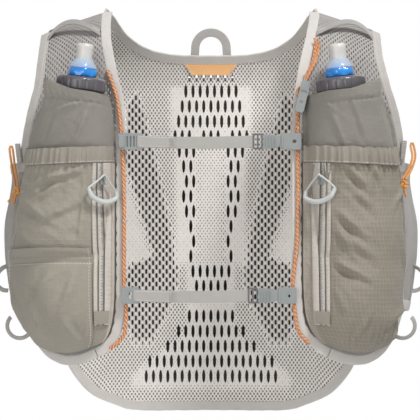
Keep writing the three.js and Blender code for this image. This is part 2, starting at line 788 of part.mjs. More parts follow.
// Routes of the flecked cords down the front edges: shares of halfWidth and of frontLength.
const railRoute = {
  left: [
    [0.486, 0.186], [0.458, 0.229], [0.439, 0.271], [0.421, 0.357], [0.407, 0.529], [0.407, 0.686],
    [0.407, 0.809], [0.397, 0.886], [0.411, 0.951], [0.472, 0.986],
  ],
  right: [
    [0.495, 0.114], [0.481, 0.160], [0.449, 0.200], [0.421, 0.246], [0.407, 0.300], [0.407, 0.543],
    [0.402, 0.686], [0.383, 0.800], [0.393, 0.886], [0.411, 0.937], [0.458, 0.971],
  ],
};

function railCords() {
  const lift = clothWall / 2 + tapeThick / 2 + gap + railRadius;
  for (const side of sides) {
    const points = railRoute[side.name].map(([wide, down]) => frontPoint(side.sign * wide * halfWidth, -down * frontLength, lift));
    add(`rail_cord_${side.name}`, tubeGeometry(points, railRadius, 17), orangeCord);
  }
}

// Webbing arch from the inner to the outer edge of a shoulder, standing off the strap.
function shoulderBands() {
  const steps = 8;
  for (const side of sides) {
    const front = frontSpot(side);
    const sections = [];
    for (let step = 0; step <= steps; step += 1) {
      const share = step / steps;
      const down = 0.03 + 0.045 * (1 - 1.35 * share) ** 2;
      const lift = clothWall + gap + bandArch * Math.sin(Math.PI * share) ** 0.8;
      const across = lerp(0.06, 0.94, share);
      const corner = (offset, up) => lifted(front, across, down + offset / frontLength, lift + up);
      sections.push([corner(-bandWidth / 2, 0), corner(bandWidth / 2, 0), corner(bandWidth / 2, webThick),
        corner(-bandWidth / 2, webThick)]);
    }
    add(`shoulder_band_${side.name}`, loftGeometry(sections), webbing);
  }
}

function hangLoop() {
  const crown = 12;
  const steps = 10;
  const y = depthAt(0, -loopFoot) + clothWall + gap;
  const sections = [];
  const corner = (x, z, across, up) => new THREE.Vector3(x + across[0], y + up, z + across[1]);
  const section = (x, z, turn) => {
    const half = [loopWidth / 2 * Math.cos(turn), loopWidth / 2 * Math.sin(turn)];
    const other = half.map((value) => -value);
    return [corner(x, z, half, 0), corner(x, z, other, 0), corner(x, z, other, webThick), corner(x, z, half, webThick)];
  };
  sections.push(section(loopReach, -loopFoot, 0));
  for (let step = 0; step <= steps; step += 1) {
    const turn = (step / steps) * Math.PI;
    sections.push(section(loopReach * Math.cos(turn), -crown - loopReach + loopReach * Math.sin(turn), turn));
  }
  sections.push(section(-loopReach, -loopFoot, Math.PI));
  add("hang_loop", loftGeometry(sections), webbing);
}

function neckLabel() {
  const spot = (u, v) => backSpot(u * lerp(1, 0.72, v), lerp(0.012, 0.045, v));
  const thick = 0.8;
  add("neck_label", sheetGeometry(spot, [-0.17, -0.08, 0, 0.08, 0.17], [0, 0.5, 1], -gap - thick, -gap), orangeCord);
}

function whistle() {
  const tilt = THREE.MathUtils.degToRad(14);
  const lift = clothWall / 2 + tapeThick / 2 + 2 * railRadius + whistleThick / 2 + 3.8;
  const bar = add("whistle", slabGeometry(whistleWidth, whistleThick, whistleLength), hardGrey);
  const reach = flaskReach - capRadius - 1.7 * whistleWidth;
  bar.position.copy(frontPoint(reach, -0.26 * frontLength, lift));
  bar.rotation.set(0, tilt, 0);
}

// A strap across the chest: web, slider and buckle, with a clip on each rail cord.
function chestStrap({ name, drop, ...shares }) {
  const cordFace = clothWall / 2 + tapeThick / 2 + gap + 2 * railRadius;
  const railReach = 0.383 * halfWidth;
  const y = -(depthAt(railReach, -drop) + cordFace + gap + clipThick / 2);
  const [hook, web, slider, buckle, clip, end] = shares.places.map((share) => share * halfWidth);
  const piece = (label, from, to, height, thick, material) => {
    const mesh = add(`chest_${label}_${name}`, slabGeometry(to - from, thick, height), material);
    mesh.position.set((from + to) / 2, y, -drop);
  };
  piece("hook", hook, web, clipHeight, clipThick, hardGrey);
  piece("web", web + gap, slider - gap, chestWeb, webThick, webbing);
  piece("slider", slider, buckle, sliderHeight, clipThick, hardGrey);
  piece("buckle", buckle + gap, clip - gap, buckleHeight, buckleThick, hardGrey);
  piece("clip", clip, end, clipHeight, clipThick, hardGrey);
}

// Where the hook, web, slider, buckle and clip of each chest strap begin and where the clip ends, as
// shares of halfWidth.
const strapRows = [
  { name: "upper", drop: upperStrapDrop, places: [-0.439, -0.318, 0.196, 0.243, 0.327, 0.425] },
  { name: "lower", drop: lowerStrapDrop, places: [-0.421, -0.336, 0.173, 0.22, 0.313, 0.402] },
];

// Routes of the drawcords: shares of halfWidth and of frontLength, with the lift off the cloth in mm.
const drawRoute = {
  left: [[0.944, 0.4, 5], [0.93, 0.451, 9], [0.902, 0.52, 12.6]],
  right: [[0.949, 0.391, 5], [0.958, 0.423, 8], [0.935, 0.457, 10], [0.902, 0.497, 11]],
};

// Ends of the cord beyond each knot, across and down.
const tailRows = {
  left: [[-9, -11], [-4, -14]],
  right: [[2, -13]],
};

// Elastic adjusters under the arms: a webbing tab, a doubled cord and its knot with short tails.
function drawcords() {
  const spread = drawRadius + 0.3;
  for (const side of sides) {
    const route = drawRoute[side.name].map(([wide, down, lift]) => (
      frontPoint(side.sign * wide * halfWidth, -down * frontLength, lift)));
    const shift = (point, amount) => point.clone().add(new THREE.Vector3(amount, 0, 0));
    const top = route[0].clone().add(new THREE.Vector3(0, 0, 2.5));
    const points = [
      ...route.map((point) => shift(point, -spread)).reverse(),
      top,
      ...route.map((point) => shift(point, spread)),
    ];
    add(`drawcord_${side.name}`, tubeGeometry(points, drawRadius, 14), orangeCord);
    const end = route[route.length - 1];
    const knot = new THREE.SphereGeometry(knotRadius, 7, 5);
    const centre = end.clone().add(new THREE.Vector3(0, 0, -knotRadius - gap));
    knot.translate(...centre.toArray());
    const beside = (x, z) => centre.clone().add(new THREE.Vector3(x, 0, z));
    const tails = tailRows[side.name].map(([x, z]) => (
      tubeGeometry([centre, beside(x / 2, z / 2), beside(x, z)], drawRadius, 2)));
    add(`drawcord_knot_${side.name}`, joined(knot, ...tails), orangeCord);
    const tab = add(`drawcord_tab_${side.name}`, slabGeometry(tabWidth, tabThick, tabHeight), webbing);
    const tabLift = clothWall / 2 + tapeThick / 2 + 4 * gap + tabThick / 2;
    const tabReach = 0.907 * halfWidth;
    const tabDrop = drawRoute[side.name][0][1] * frontLength + 0.3 * tabHeight;
    const seat = frontPoint(side.sign * tabReach, -tabDrop, tabLift);
    const beyond = frontPoint(side.sign * tabReach, -tabDrop, tabLift + 1);
    const inward = seat.clone().sub(beyond).normalize();
    const rise = new THREE.Vector3(0, 0, 1);
    tab.position.copy(seat);
    tab.quaternion.setFromRotationMatrix(new THREE.Matrix4().makeBasis(inward.clone().cross(rise), inward, rise));
  }
}

// Small webbing loops on the sides, each a flat band bent back on itself: the upper ones stand off
// the stretch panels and the lower ones off the tape at the corner of each hem.
function sideLoops() {
  const steps = 8;
  for (const side of sides) {
    const flank = sideSpot(side);
    const corner = lifted(frontSpot(side), 1, 0.94, clothWall / 2);
    const slant = new THREE.Vector3(side.sign, 0.1, -1).normalize();
    const stops = [
      { label: "upper", root: lifted(flank, 0.2, 0.82, clothWall + gap / 4), out: normalAt(flank, 0.2, 0.82) },
      { label: "lower", root: corner.addScaledVector(slant, tapeWidth + 4.5 * gap), out: slant },
    ];
    for (const { label, root, out } of stops) {
      const wide = new THREE.Vector3(out.y, -out.x, 0).normalize();
      const tall = label === "upper" ? new THREE.Vector3(0, 0, 1) : new THREE.Vector3(-out.z, 0, out.x);
      const flat = label === "upper" ? wide : new THREE.Vector3(0, 1, 0);
      const sections = [];
      for (let step = 0; step <= steps; step += 1) {
        const turn = (step / steps) * Math.PI;
        const ray = out.clone().multiplyScalar(Math.sin(turn)).addScaledVector(tall, Math.cos(turn));
        const at = (across, radius) => root.clone().addScaledVector(ray, radius)
          .addScaledVector(flat, across * sideLoopWidth / 2);
        const outside = sideLoopHalf + webThick;
        sections.push([at(-1, sideLoopHalf), at(1, sideLoopHalf), at(1, outside), at(-1, outside)]);
      }
      add(`side_loop_${label}_${side.name}`, loftGeometry(sections), webbing);
    }
  }
}

backPanel();
backPocket();
fronts();
bindings();
flaskSleeves();
pockets();
stashPocket();
flasks();
zips();
railCords();
shoulderBands();
hangLoop();
neckLabel();
whistle();
strapRows.forEach(chestStrap);
drawcords();
sideLoops();

export default vest;
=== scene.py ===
import math

import bmesh
import bpy
import numpy as np
from mathutils import Matrix, Vector, geometry


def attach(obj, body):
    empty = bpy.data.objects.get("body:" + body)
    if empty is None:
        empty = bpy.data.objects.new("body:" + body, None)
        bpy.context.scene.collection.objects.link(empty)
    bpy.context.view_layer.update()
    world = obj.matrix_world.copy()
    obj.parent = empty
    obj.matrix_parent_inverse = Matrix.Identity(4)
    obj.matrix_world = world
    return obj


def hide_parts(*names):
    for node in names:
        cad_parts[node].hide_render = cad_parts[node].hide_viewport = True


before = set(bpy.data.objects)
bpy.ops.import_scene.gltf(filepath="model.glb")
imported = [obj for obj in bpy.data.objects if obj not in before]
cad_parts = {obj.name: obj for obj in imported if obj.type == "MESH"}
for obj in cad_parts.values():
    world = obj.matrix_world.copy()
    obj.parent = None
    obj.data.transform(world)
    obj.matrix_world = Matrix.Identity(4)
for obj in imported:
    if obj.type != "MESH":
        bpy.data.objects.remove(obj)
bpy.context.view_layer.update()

# Sizes of the worn form, in millimetres, as in the solids.
HALF_WIDTH, HALF_DEPTH = 214.0, 92.0
FRONT_LENGTH, BACK_LENGTH = 350.0, 414.0
SHOULDER_ROUND, SHOULDER_SLOPE = 80.0, 18.0
FORM_POWER = 2.4
NECK_HALF, STRAP_HALF = 112.0, 167.0
CLOTH_WALL, SKIN_WALL = 1.6, 1.2
GAP, LAYER_GAP = 0.4, 0.9
TAPE_WIDTH, TAPE_THICK, WEB_THICK = 8.5, 2.4, 1.5
CAP_RADIUS, CAP_HEIGHT, CAP_DROP = 25.0, 15.0, 87.0
FLASK_REACH, FLASK_TILT = 131.0, math.radians(6)
SLEEVE_BOTTOM, SLEEVE_OUTER = 252.0, 1.72
POCKET_TOP, CUFF_HEIGHT, POCKET_BULGE = 141.0, 16.0, 32.0
STASH_TOP, ZIP_BOTTOM, ZIP_THICK = 242.0, 320.0, 1.6
RAIL_RADIUS, DRAW_RADIUS, KNOT_RADIUS = 2.0, 1.2, 5.0
WHISTLE_WIDTH = 9.2
LOCK_BASE = CAP_HEIGHT + 0.5
VALVE_ROOT = LOCK_BASE + 11.4
FLASK_LENGTH, FLASK_DEEP = 150.0, 20.0
HARD_HALF, HARD_THICK, RIB_HALF = 8.4, 3.4, 6.4
RAIL_SHARE, RAIL_LOOP_DROPS = 0.383, (70, 100, 186, 215, 246, 320)

# Dressing of the scene alone: cloth width of a front, seams, pleats, folded webs and the lie of the drawcords.
FRONT_CLOTH, SEAM_TOP, HEM_PLEAT_START, BACK_BULGE = 95.0, 168.0, 26.0, 5.0
CLOTH_STITCH, WEB_FOLD = 3.2, -36.0
FOLD_GAIN, FOLD_NARROWING = 1.35, 0.66
BACK_HALF = 0.61
CUFF_SEED, HEM_SEED = 31, 47
GATHER, HEM_GATHER = {"left": 1.0, "right": 1.5}, {"left": 0.45, "right": 1.5}
CUFF_SCALLOP, STRIP_PALE = {"left": 0.6, "right": 1.6}, {"left": 0.7, "right": 0.3}
DRAW_ASIDE, DRAW_PROUD = 0.03, 4.5


def table(names, rows):
    return {name: np.array(column, float) for name, column in zip(names.split(), zip(*rows))}


FORM = table("at wide", [
    (0, 1.02), (0.27, 1.02), (0.36, 0.985), (0.41, 0.965), (0.46, 0.975), (0.53, 1), (0.6, 1),
    (0.65, 0.99), (0.73, 0.965), (0.78, 0.93), (0.84, 0.88), (1.05, 0.8)])
FRONT = table("at inner_left outer_left inner_right outer_right", [
    (0, 0.523, 0.78, 0.523, 0.78), (0.09, 0.515, 0.79, 0.49, 0.785), (0.19, 0.485, 0.805, 0.45, 0.818),
    (0.27, 0.453, 0.835, 0.43, 0.855), (0.35, 0.443, 0.863, 0.422, 0.883), (0.46, 0.441, 0.893, 0.421, 0.903),
    (0.54, 0.441, 0.93, 0.421, 0.916), (0.66, 0.441, 0.95, 0.421, 0.926), (0.76, 0.441, 0.95, 0.421, 0.926),
    (0.86, 0.443, 0.935, 0.425, 0.915), (0.93, 0.453, 0.893, 0.44, 0.89), (0.97, 0.475, 0.855, 0.478, 0.875),
    (1, 0.515, 0.822, 0.53, 0.86)])
FRONT_HEM = table("at drop", [(0, 0.978), (0.12, 0.99), (0.35, 1.008), (0.6, 1.011), (0.85, 0.99), (1, 0.96)])
BACK = table("at wide", [
    (0, 0.78), (0.06, 0.73), (0.13, 0.695), (0.22, 0.685), (0.3, 0.71), (0.36, 0.79), (0.4, 0.86), (0.5, 0.88),
    (0.68, 0.87), (0.75, 0.83), (0.82, 0.755), (0.87, 0.7), (0.91, 0.66), (0.945, 0.61), (0.97, 0.55), (1, 0.42)])
NECKLINE = table("at drop", [
    (0, 0.111), (0.2, 0.11), (0.37, 0.1), (0.47, 0.084), (0.57, 0.056), (0.64, 0.022), (0.671, 0)])
BACK_HEM = table("at drop", [(0, 1), (0.8, 1), (1, 0.995)])
SLEEVE = table("at thick inner", [
    (0.33, 2.32, 1.38), (0.38, 2.1, 1.42), (0.44, 1.85, 1.5), (0.56, 1.45, 1.6), (0.68, 1.2, 1.65),
    (0.8, 1, 1.65), (0.9, 0.76, 1.65), (0.97, 0.4, 1.65), (1, 0, 1.65)])
BULGE = table("at full", [
    (0.38, 0.02), (0.5, 0.1), (0.6, 0.3), (0.68, 0.64), (0.74, 0.95), (0.83, 1), (0.9, 0.8), (0.955, 0.42),
    (1.01, 0)])
SIDE_FRONT, SIDE_BACK = (0.46, 0.88), (0.385, 0.735)
LAYER_LAST, LAYER_END = 330.0, 0.985

# Rows of long gaps in the knitted back: row, first gap from the middle in pitches, gaps a side.
HOLE_ROWS = [
    (0, 0.5, 4), (1, 0, 5), (2, 0.5, 5), (3, 0, 2), (3, 3, 3), (4, 2.4, 3), (5, 2.8, 2), (6, 2.4, 2),
    (7, 2.8, 2), (8, 2.4, 2), (9, 2.8, 1), (10, 2.4, 1), (11, 2.8, 1), (12, 0.5, 3), (13, 0, 3),
    (15, 0, 3), (16, 0.5, 3), (17, 0, 4), (18, 0.5, 5), (19, 0, 5)]
HOLE_WIDTH, HOLE_HEIGHT, HOLE_PITCH, ROW_PITCH, FIRST_HOLE = 3.6, 14.5, 7.8, 16.3, 76.0
TOP_HOLE, TOP_HOLE_HEIGHT, TOP_HOLES = 61.5, 9.0, 3

SIDES = (("left", -1, 0.045), ("right", 1, 0.09))


def lerp(a, b, share):
    return a + (b - a) * share


def ramp(value, low, high):
    share = np.clip((value - low) / (high - low), 0, 1)
    return share * share * (3 - 2 * share)


# Smooth curve through the rows of a table, read at one place or many.
def follow(rows, place, column):
    at, value = rows["at"], rows[column]
    spot = np.clip(place, at[0], at[-1])
    low = np.clip(np.searchsorted(at, spot, side="left") - 1, 0, len(at) - 2)
    slope = np.empty_like(value)
    slope[1:-1] = (value[2:] - value[:-2]) / (at[2:] - at[:-2])
    slope[0] = (value[1] - value[0]) / (at[1] - at[0])
    slope[-1] = (value[-1] - value[-2]) / (at[-1] - at[-2])
    span = at[low + 1] - at[low]
    share = (spot - at[low]) / span
    bend = span * share * (1 - share) * ((1 - share) * slope[low] - share * slope[low + 1])
    return lerp(value[low], value[low + 1], share * share * (3 - 2 * share)) + bend


def ridge(x):
    return -SHOULDER_SLOPE * np.maximum(0, (np.abs(x) - NECK_HALF) / (STRAP_HALF - NECK_HALF))


def wide(z):
    return HALF_WIDTH * follow(FORM, -z / BACK_LENGTH, "wide")


def depth(x, z):
    across = np.minimum(1, np.abs(x) / wide(z))
    rounding = (1 - across ** FORM_POWER) ** (1 / FORM_POWER)
    drop = np.clip((ridge(x) - z) / SHOULDER_ROUND, 0, 1)
    return HALF_DEPTH * rounding * np.sqrt(1 - (1 - drop) ** 2)


def front_spot(side):
    sign = -1 if side == "left" else 1
    inner, outer = "inner_" + side, "outer_" + side
    top_in, top_out = FRONT[inner][0] * HALF_WIDTH, FRONT[outer][0] * HALF_WIDTH

    def spot(u, v):
        u, v = np.broadcast_arrays(np.asarray(u, float), np.asarray(v, float))
        x = sign * HALF_WIDTH * lerp(follow(FRONT, v, inner), follow(FRONT, v, outer), u)
        z = lerp(ridge(lerp(top_in, top_out, u)), -FRONT_LENGTH * follow(FRONT_HEM, u, "drop"), v)
        return np.stack([x, -np.maximum(GAP / 2, depth(x, z)), z], -1)
    return spot


def down_to(side, u, z):
    inner, outer = FRONT["inner_" + side][0], FRONT["outer_" + side][0]
    top = ridge(HALF_WIDTH * lerp(inner, outer, u))
    bottom = -FRONT_LENGTH * follow(FRONT_HEM, u, "drop")
    return (top - z) / (top - bottom)


def back_spot(u, v):
    u, v = np.broadcast_arrays(np.asarray(u, float), np.asarray(v, float))
    share = np.abs(u)
    x = u * HALF_WIDTH * follow(BACK, v, "wide")
    top = np.where(share > NECKLINE["at"][-1], ridge(share * STRAP_HALF),
                   -BACK_LENGTH * follow(NECKLINE, share, "drop"))
    z = lerp(top, -BACK_LENGTH * follow(BACK_HEM, share, "drop"), v)
    return np.stack([x, np.maximum(GAP / 2, depth(x, z)), z], -1)


def side_spot(side):
    sign = -1 if side == "left" else 1
    front = front_spot(side)

    def spot(u, v):
        u, v = np.broadcast_arrays(np.asarray(u, float), np.asarray(v, float))
        along = lerp(0.006, 0.994, u)
        start = front(np.ones_like(v), lerp(*SIDE_FRONT, v))
        end = back_spot(sign * np.ones_like(v), lerp(*SIDE_BACK, v))
        z = lerp(start[..., 2], end[..., 2], along)

        def turn(point):
            return np.arcsin(np.clip((np.abs(point[..., 0]) / wide(point[..., 2])) ** (FORM_POWER / 2), 0, 1))
        angle = lerp(turn(start), math.pi - turn(end), along)
        x = wide(z) * np.abs(np.sin(angle)) ** (2 / FORM_POWER)
        y = -HALF_DEPTH * np.sign(np.cos(angle)) * np.abs(np.cos(angle)) ** (2 / FORM_POWER)
        return np.stack([sign * x, y, z], -1)
    return spot


def unit(vectors):
    return vectors / np.maximum(np.linalg.norm(vectors, axis=-1, keepdims=True), 1e-9)


def normal_at(spot, u, v):
    step = 0.004
    along = spot(u + step, v) - spot(np.maximum(u - step, -1), v)
    below = spot(u, np.minimum(v + step, 1)) - spot(u, np.maximum(v - step, 0))
    normal = unit(np.cross(along, below))
    place = spot(u, v)
    outside = np.stack([place[..., 0] * 0.2, place[..., 1], np.full_like(place[..., 2], 40)], -1)
    return np.where((normal * outside).sum(-1, keepdims=True) < 0, -normal, normal)


def lifted(spot, u, v, lift):
    return spot(u, v) + normal_at(spot, u, v) * np.asarray(lift)[..., None]


def front_point(x, z, lift):
    def spot(a, b):
        return np.stack([a, -depth(a, b), b], -1)
    x, z = np.asarray(x, float), np.asarray(z, float)
    normal = unit(np.cross(spot(x + 0.5, z) - spot(x - 0.5, z), spot(x, z - 0.5) - spot(x, z + 0.5)))
    normal = np.where(normal[..., 1:2] > 0, -normal, normal)
    return spot(x, z) + normal * np.asarray(lift)[..., None], normal


def sleeve_lift(side, u, v):
    place = front_spot(side)(u, v)
    level = -place[..., 2] / SLEEVE_BOTTOM
    centre = FLASK_REACH + math.tan(FLASK_TILT) * (-place[..., 2] - CAP_DROP)
    offset = np.abs(place[..., 0]) - centre
    reach = CAP_RADIUS * np.where(offset < 0, follow(SLEEVE, level, "inner"), SLEEVE_OUTER)
    rounding = np.maximum(0, 1 - np.minimum(1, np.abs(offset) / reach) ** 2.2) ** 0.5
    return CLOTH_WALL + LAYER_GAP + CAP_RADIUS * follow(SLEEVE, level, "thick") * rounding


def pocket_lift(side, u, v):
    place = front_spot(side)(u, v)
    full = POCKET_BULGE * follow(BULGE, -place[..., 2] / FRONT_LENGTH, "full")
    share = np.clip((u - 0.02) / 0.96, 0, 1)
    rounding = np.maximum(0, np.sin(math.pi * share)) ** np.where(share < 0.5, 1.15, 0.8)
    return sleeve_lift(side, u, v) + SKIN_WALL + GAP + full * rounding


def layer_down(side, u, drop):
    last = down_to(side, u, -LAYER_LAST)
    low = lerp(last, LAYER_END, (drop - LAYER_LAST) / (FRONT_LENGTH - LAYER_LAST))
    return np.where(drop <= LAYER_LAST, down_to(side, u, -np.minimum(drop, LAYER_LAST)), low)


# Rows of points evened out down the cloth, with both ends kept.
def evened(points, reach):
    weights = np.exp(-(np.arange(-2 * reach, 2 * reach + 1) / reach) ** 2)
    weights /= weights.sum()
    first = 2 * points[:1] - points[1:2 * reach + 1][::-1]
    last = 2 * points[-1:] - points[-2 * reach - 1:-1][::-1]
    padded = np.concatenate([first, points, last])
    return sum(w * padded[n:n + len(points)] for n, w in enumerate(weights))


# A fold is a ridge along a line, with a crease beside it: x and drop of both ends, height, width.
def fold_height(x, z, rows):
    total = np.zeros_like(x)
    for x0, d0, x1, d1, high, half in rows:
        high, half = FOLD_GAIN * high, FOLD_NARROWING * half
        dx, dz = x1 - x0, d0 - d1
        share = np.clip(((x - x0) * dx + (z + d0) * dz) / (dx * dx + dz * dz), 0, 1)
        away = ((x - x0) * -dz + (z + d0) * dx) / math.hypot(dx, dz)
        past = np.hypot(x - x0 - share * dx, z + d0 - share * dz)
        beyond = np.maximum(0, past - np.abs(away))
        ease = np.exp(-(beyond / (2 * half)) ** 2) * (0.25 + 0.75 * np.sin(math.pi * np.clip(share, 0.08, 0.92)))
        valley = 0.55 * np.exp(-((away + 1.5 * half) / (0.8 * half)) ** 2)
        total += high * ease * (np.exp(-(away / half) ** 2) - valley)
    return total


def ripple(x, z, size, seed, rows=9):
    draw = np.random.default_rng(seed)
    total = np.zeros_like(x)
    for _ in range(rows):
        turn, phase = draw.uniform(0, math.pi), draw.uniform(0, 2 * math.pi)
        pitch = size * draw.uniform(0.6, 1.7)
        wave = np.sin(2 * math.pi * (x * math.cos(turn) + z * math.sin(turn)) / pitch + phase)
        total += (1 - np.abs(wave)) ** 2 - 0.37
    return total / math.sqrt(rows)


# Meshes. Lengths come in millimetres and leave in metres.
def make_object(name, points, faces, uv=None, marks=None, angle=35):
    mesh = bpy.data.meshes.new(name)
    mesh.from_pydata((np.asarray(points) * 0.001).tolist(), [], [tuple(int(i) for i in face) for face in faces])
    if uv is not None:
        chart = mesh.uv_layers.new(name="cloth")
        index = np.empty(len(mesh.loops), np.int32)
        mesh.loops.foreach_get("vertex_index", index)
        chart.data.foreach_set("uv", (np.asarray(uv)[index] * 0.01).astype(np.float32).ravel())
    for key, values in (marks or {}).items():
        mesh.attributes.new(key, "FLOAT", "POINT").data.foreach_set("value", np.asarray(values, np.float32))
    mesh.shade_smooth()
    mesh.set_sharp_from_angle(angle=math.radians(angle))
    obj = bpy.data.objects.new(name, mesh)
    bpy.context.scene.collection.objects.link(obj)
    return obj


def settle(obj, finish, nodes=(), body="root"):
    obj.data.materials.clear()
    obj.data.materials.append(finish)
    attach(obj, body)
    if nodes:
        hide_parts(*nodes)
    return obj


# Two layers of the same faces closed by a rim, as one cloth with a thickness.
def thick_mesh(name, low, high, faces, uv=None, marks=None, angle=35):
    low, high = np.asarray(low, float), np.asarray(high, float)
    first = faces[len(faces) // 2]
    a, b, c = (high[first[i]] for i in range(3))
    if np.dot(np.cross(b - a, c - a), high[first[0]] - low[first[0]]) < 0:
        faces = [face[::-1] for face in faces]
    count = len(low)
    edges = {}
    for face in faces:
        for start, end in zip(face, (*face[1:], face[0])):
            edges[(start, end)] = True
    rim = [(a, b) for a, b in edges if (b, a) not in edges]
    every = [tuple(i + count for i in face) for face in faces] + [tuple(face[::-1]) for face in faces]
    every += [(b, a, a + count, b + count)[::-1] for a, b in rim]
    both = None if uv is None else np.concatenate([uv, uv])
    double = {key: np.concatenate([value, value]) for key, value in (marks or {}).items()}
    return make_object(name, np.concatenate([low, high]), every, both, double, angle)


def grid_faces(rows, columns):
    return [(r * columns + c, r * columns + c + 1, (r + 1) * columns + c + 1, (r + 1) * columns + c)
            for r in range(rows - 1) for c in range(columns - 1)]


def grid_lengths(points):
    across = np.linalg.norm(np.diff(points, axis=1), axis=-1)
    down = np.linalg.norm(np.diff(points, axis=0), axis=-1)
    s = np.concatenate([np.zeros((points.shape[0], 1)), np.cumsum(across, 1)], 1)
    t = np.concatenate([np.zeros((1, points.shape[1])), np.cumsum(down, 0)], 0)
    return np.stack([s, t.mean(1, keepdims=True) + 0 * t], -1)


def grid_sheet(name, low, high, marks=None, angle=35):
    rows, columns = low.shape[:2]
    uv = grid_lengths(high).reshape(-1, 2)
    flat = {key: value.ravel() for key, value in (marks or {}).items()}
    return thick_mesh(name, low.reshape(-1, 3), high.reshape(-1, 3), grid_faces(rows, columns), uv, flat, angle)


# One layer of cloth that follows a surface at a given lift.
def layer(name, spot, u, v, lift, thick=SKIN_WALL, marks=None):
    lift = lift + 0 * u
    return grid_sheet(name, lifted(spot, u, v, lift), lifted(spot, u, v, lift + thick), marks)


# A closed section swept through places, each with its own two directions.
def sweep(name, places, outs, ups, section, ring=False, angle=35):
    places, outs, ups = (np.asarray(a, float) for a in (places, outs, ups))
    section = np.asarray(section, float)
    sections = section[None] if section.ndim == 2 else section
    points = places[:, None] + outs[:, None] * sections[..., 0:1] + ups[:, None] * sections[..., 1:2]
    count, corners = points.shape[:2]
    steps = np.linalg.norm(np.diff(places, axis=0), axis=-1)
    length = np.concatenate([[0], np.cumsum(steps)])
    faces = []
    for row in range(count if ring else count - 1):
        below = (row + 1) % count
        for corner in range(corners):
            after = (corner + 1) % corners
            faces.append((row * corners + corner, row * corners + after, below * corners + after,
                          below * corners + corner))
    if not ring:
        faces.append(tuple(range(corners))[::-1])
        faces.append(tuple((count - 1) * corners + c for c in range(corners)))
    flat = points.reshape(-1, 3)
    volume = sum(np.dot(flat[f[0]], np.cross(flat[f[1]], flat[f[2]]) + (
        np.cross(flat[f[2]], flat[f[3]]) if len(f) == 4 else 0)) for f in faces)
    if volume < 0:
        faces = [face[::-1] for face in faces]
    around = np.linalg.norm(np.roll(sections[0], -1, 0) - sections[0], axis=-1)
    turn = np.concatenate([[0], np.cumsum(around)[:-1]])
    uv = np.stack(np.broadcast_arrays(length[:, None], turn[None]), -1).reshape(-1, 2)
    return make_object(name, flat, faces, uv, None, angle)


def flat_section(width, thick, start=0.0, crown=0.0, corner=0.45, parts=5):
    half = thick / 2
    xs = start + width * (0.5 - 0.5 * np.cos(np.linspace(0, math.pi, parts + 2)))
    bow = crown * np.sin(np.linspace(0, math.pi, parts + 2))
    top = [(x, half * (1 if 0 < i < parts + 1 else corner) + b) for i, (x, b) in enumerate(zip(xs, bow))]
    bottom = [(x, -half * (1 if 0 < i < parts + 1 else corner)) for i, x in enumerate(xs)]
    return top + bottom[::-1]


def circle_section(radius, corners=12):
    turns = np.linspace(0, 2 * math.pi, corners, endpoint=False)
    return np.stack([radius * np.cos(turns), radius * np.sin(turns)], -1)


def smooth_path(points, count):
    points = np.asarray(points, float)
    rows = {"at": np.concatenate([[0], np.cumsum(np.linalg.norm(np.diff(points, axis=0), axis=-1))])}
    for axis in range(3):
        rows[str(axis)] = points[:, axis]
    at = np.linspace(0, rows["at"][-1], count)
    return np.stack([follow(rows, at, str(axis)) for axis in range(3)], -1)


def path_frames(path, start=(0, 0, 1)):
    along = unit(np.gradient(path, axis=0))
    out = np.array(start, float)
    outs = []
    for direction in along:
        out = out - direction * out.dot(direction)
        out = out / max(np.linalg.norm(out), 1e-6)
        outs.append(out)
    outs = np.array(outs)
    return outs, np.cross(along, outs)


def tube(name, path, radius, corners=12, start=(0, 0, 1)):
    outs, ups = path_frames(path, start)
    return sweep(name, path, outs, ups, circle_section(radius, corners), angle=60)


# A cord tied in a trefoil knot; size stretches it along each axis.
def trefoil(centre, size, radius):
    turns = np.linspace(0, 2 * math.pi, 49)[:-1]
    reach = 2 + np.cos(3 * turns)
    loop = centre + np.stack([reach * np.cos(2 * turns), np.sin(3 * turns), reach * np.sin(2 * turns)], -1) * size
    outs, ups = path_frames(np.concatenate([loop, loop[:1]]), (0, 1, 0))
    return sweep("knot", loop, outs[:-1], ups[:-1], circle_section(radius, 8), ring=True, angle=60)


def join(name, objects):
    mesh = bmesh.new()
    for obj in objects:
        mesh.from_mesh(obj.data)
        bpy.data.objects.remove(obj)
    data = bpy.data.meshes.new(name)
    mesh.to_mesh(data)
    mesh.free()
    data.shade_smooth()
    data.set_sharp_from_angle(angle=math.radians(35))
    result = bpy.data.objects.new(name, data)
    bpy.context.scene.collection.objects.link(result)
    return result


def inside(points, outline):
    x, y = points[:, 0], points[:, 1]
    within = np.zeros(len(points), bool)
    for (x0, y0), (x1, y1) in zip(outline, np.roll(outline, -1, 0)):
        if y0 == y1:
            continue
        crosses = ((y0 > y) != (y1 > y)) & (x < (x1 - x0) * (y - y0) / (y1 - y0) + x0)
        within ^= crosses
    return within


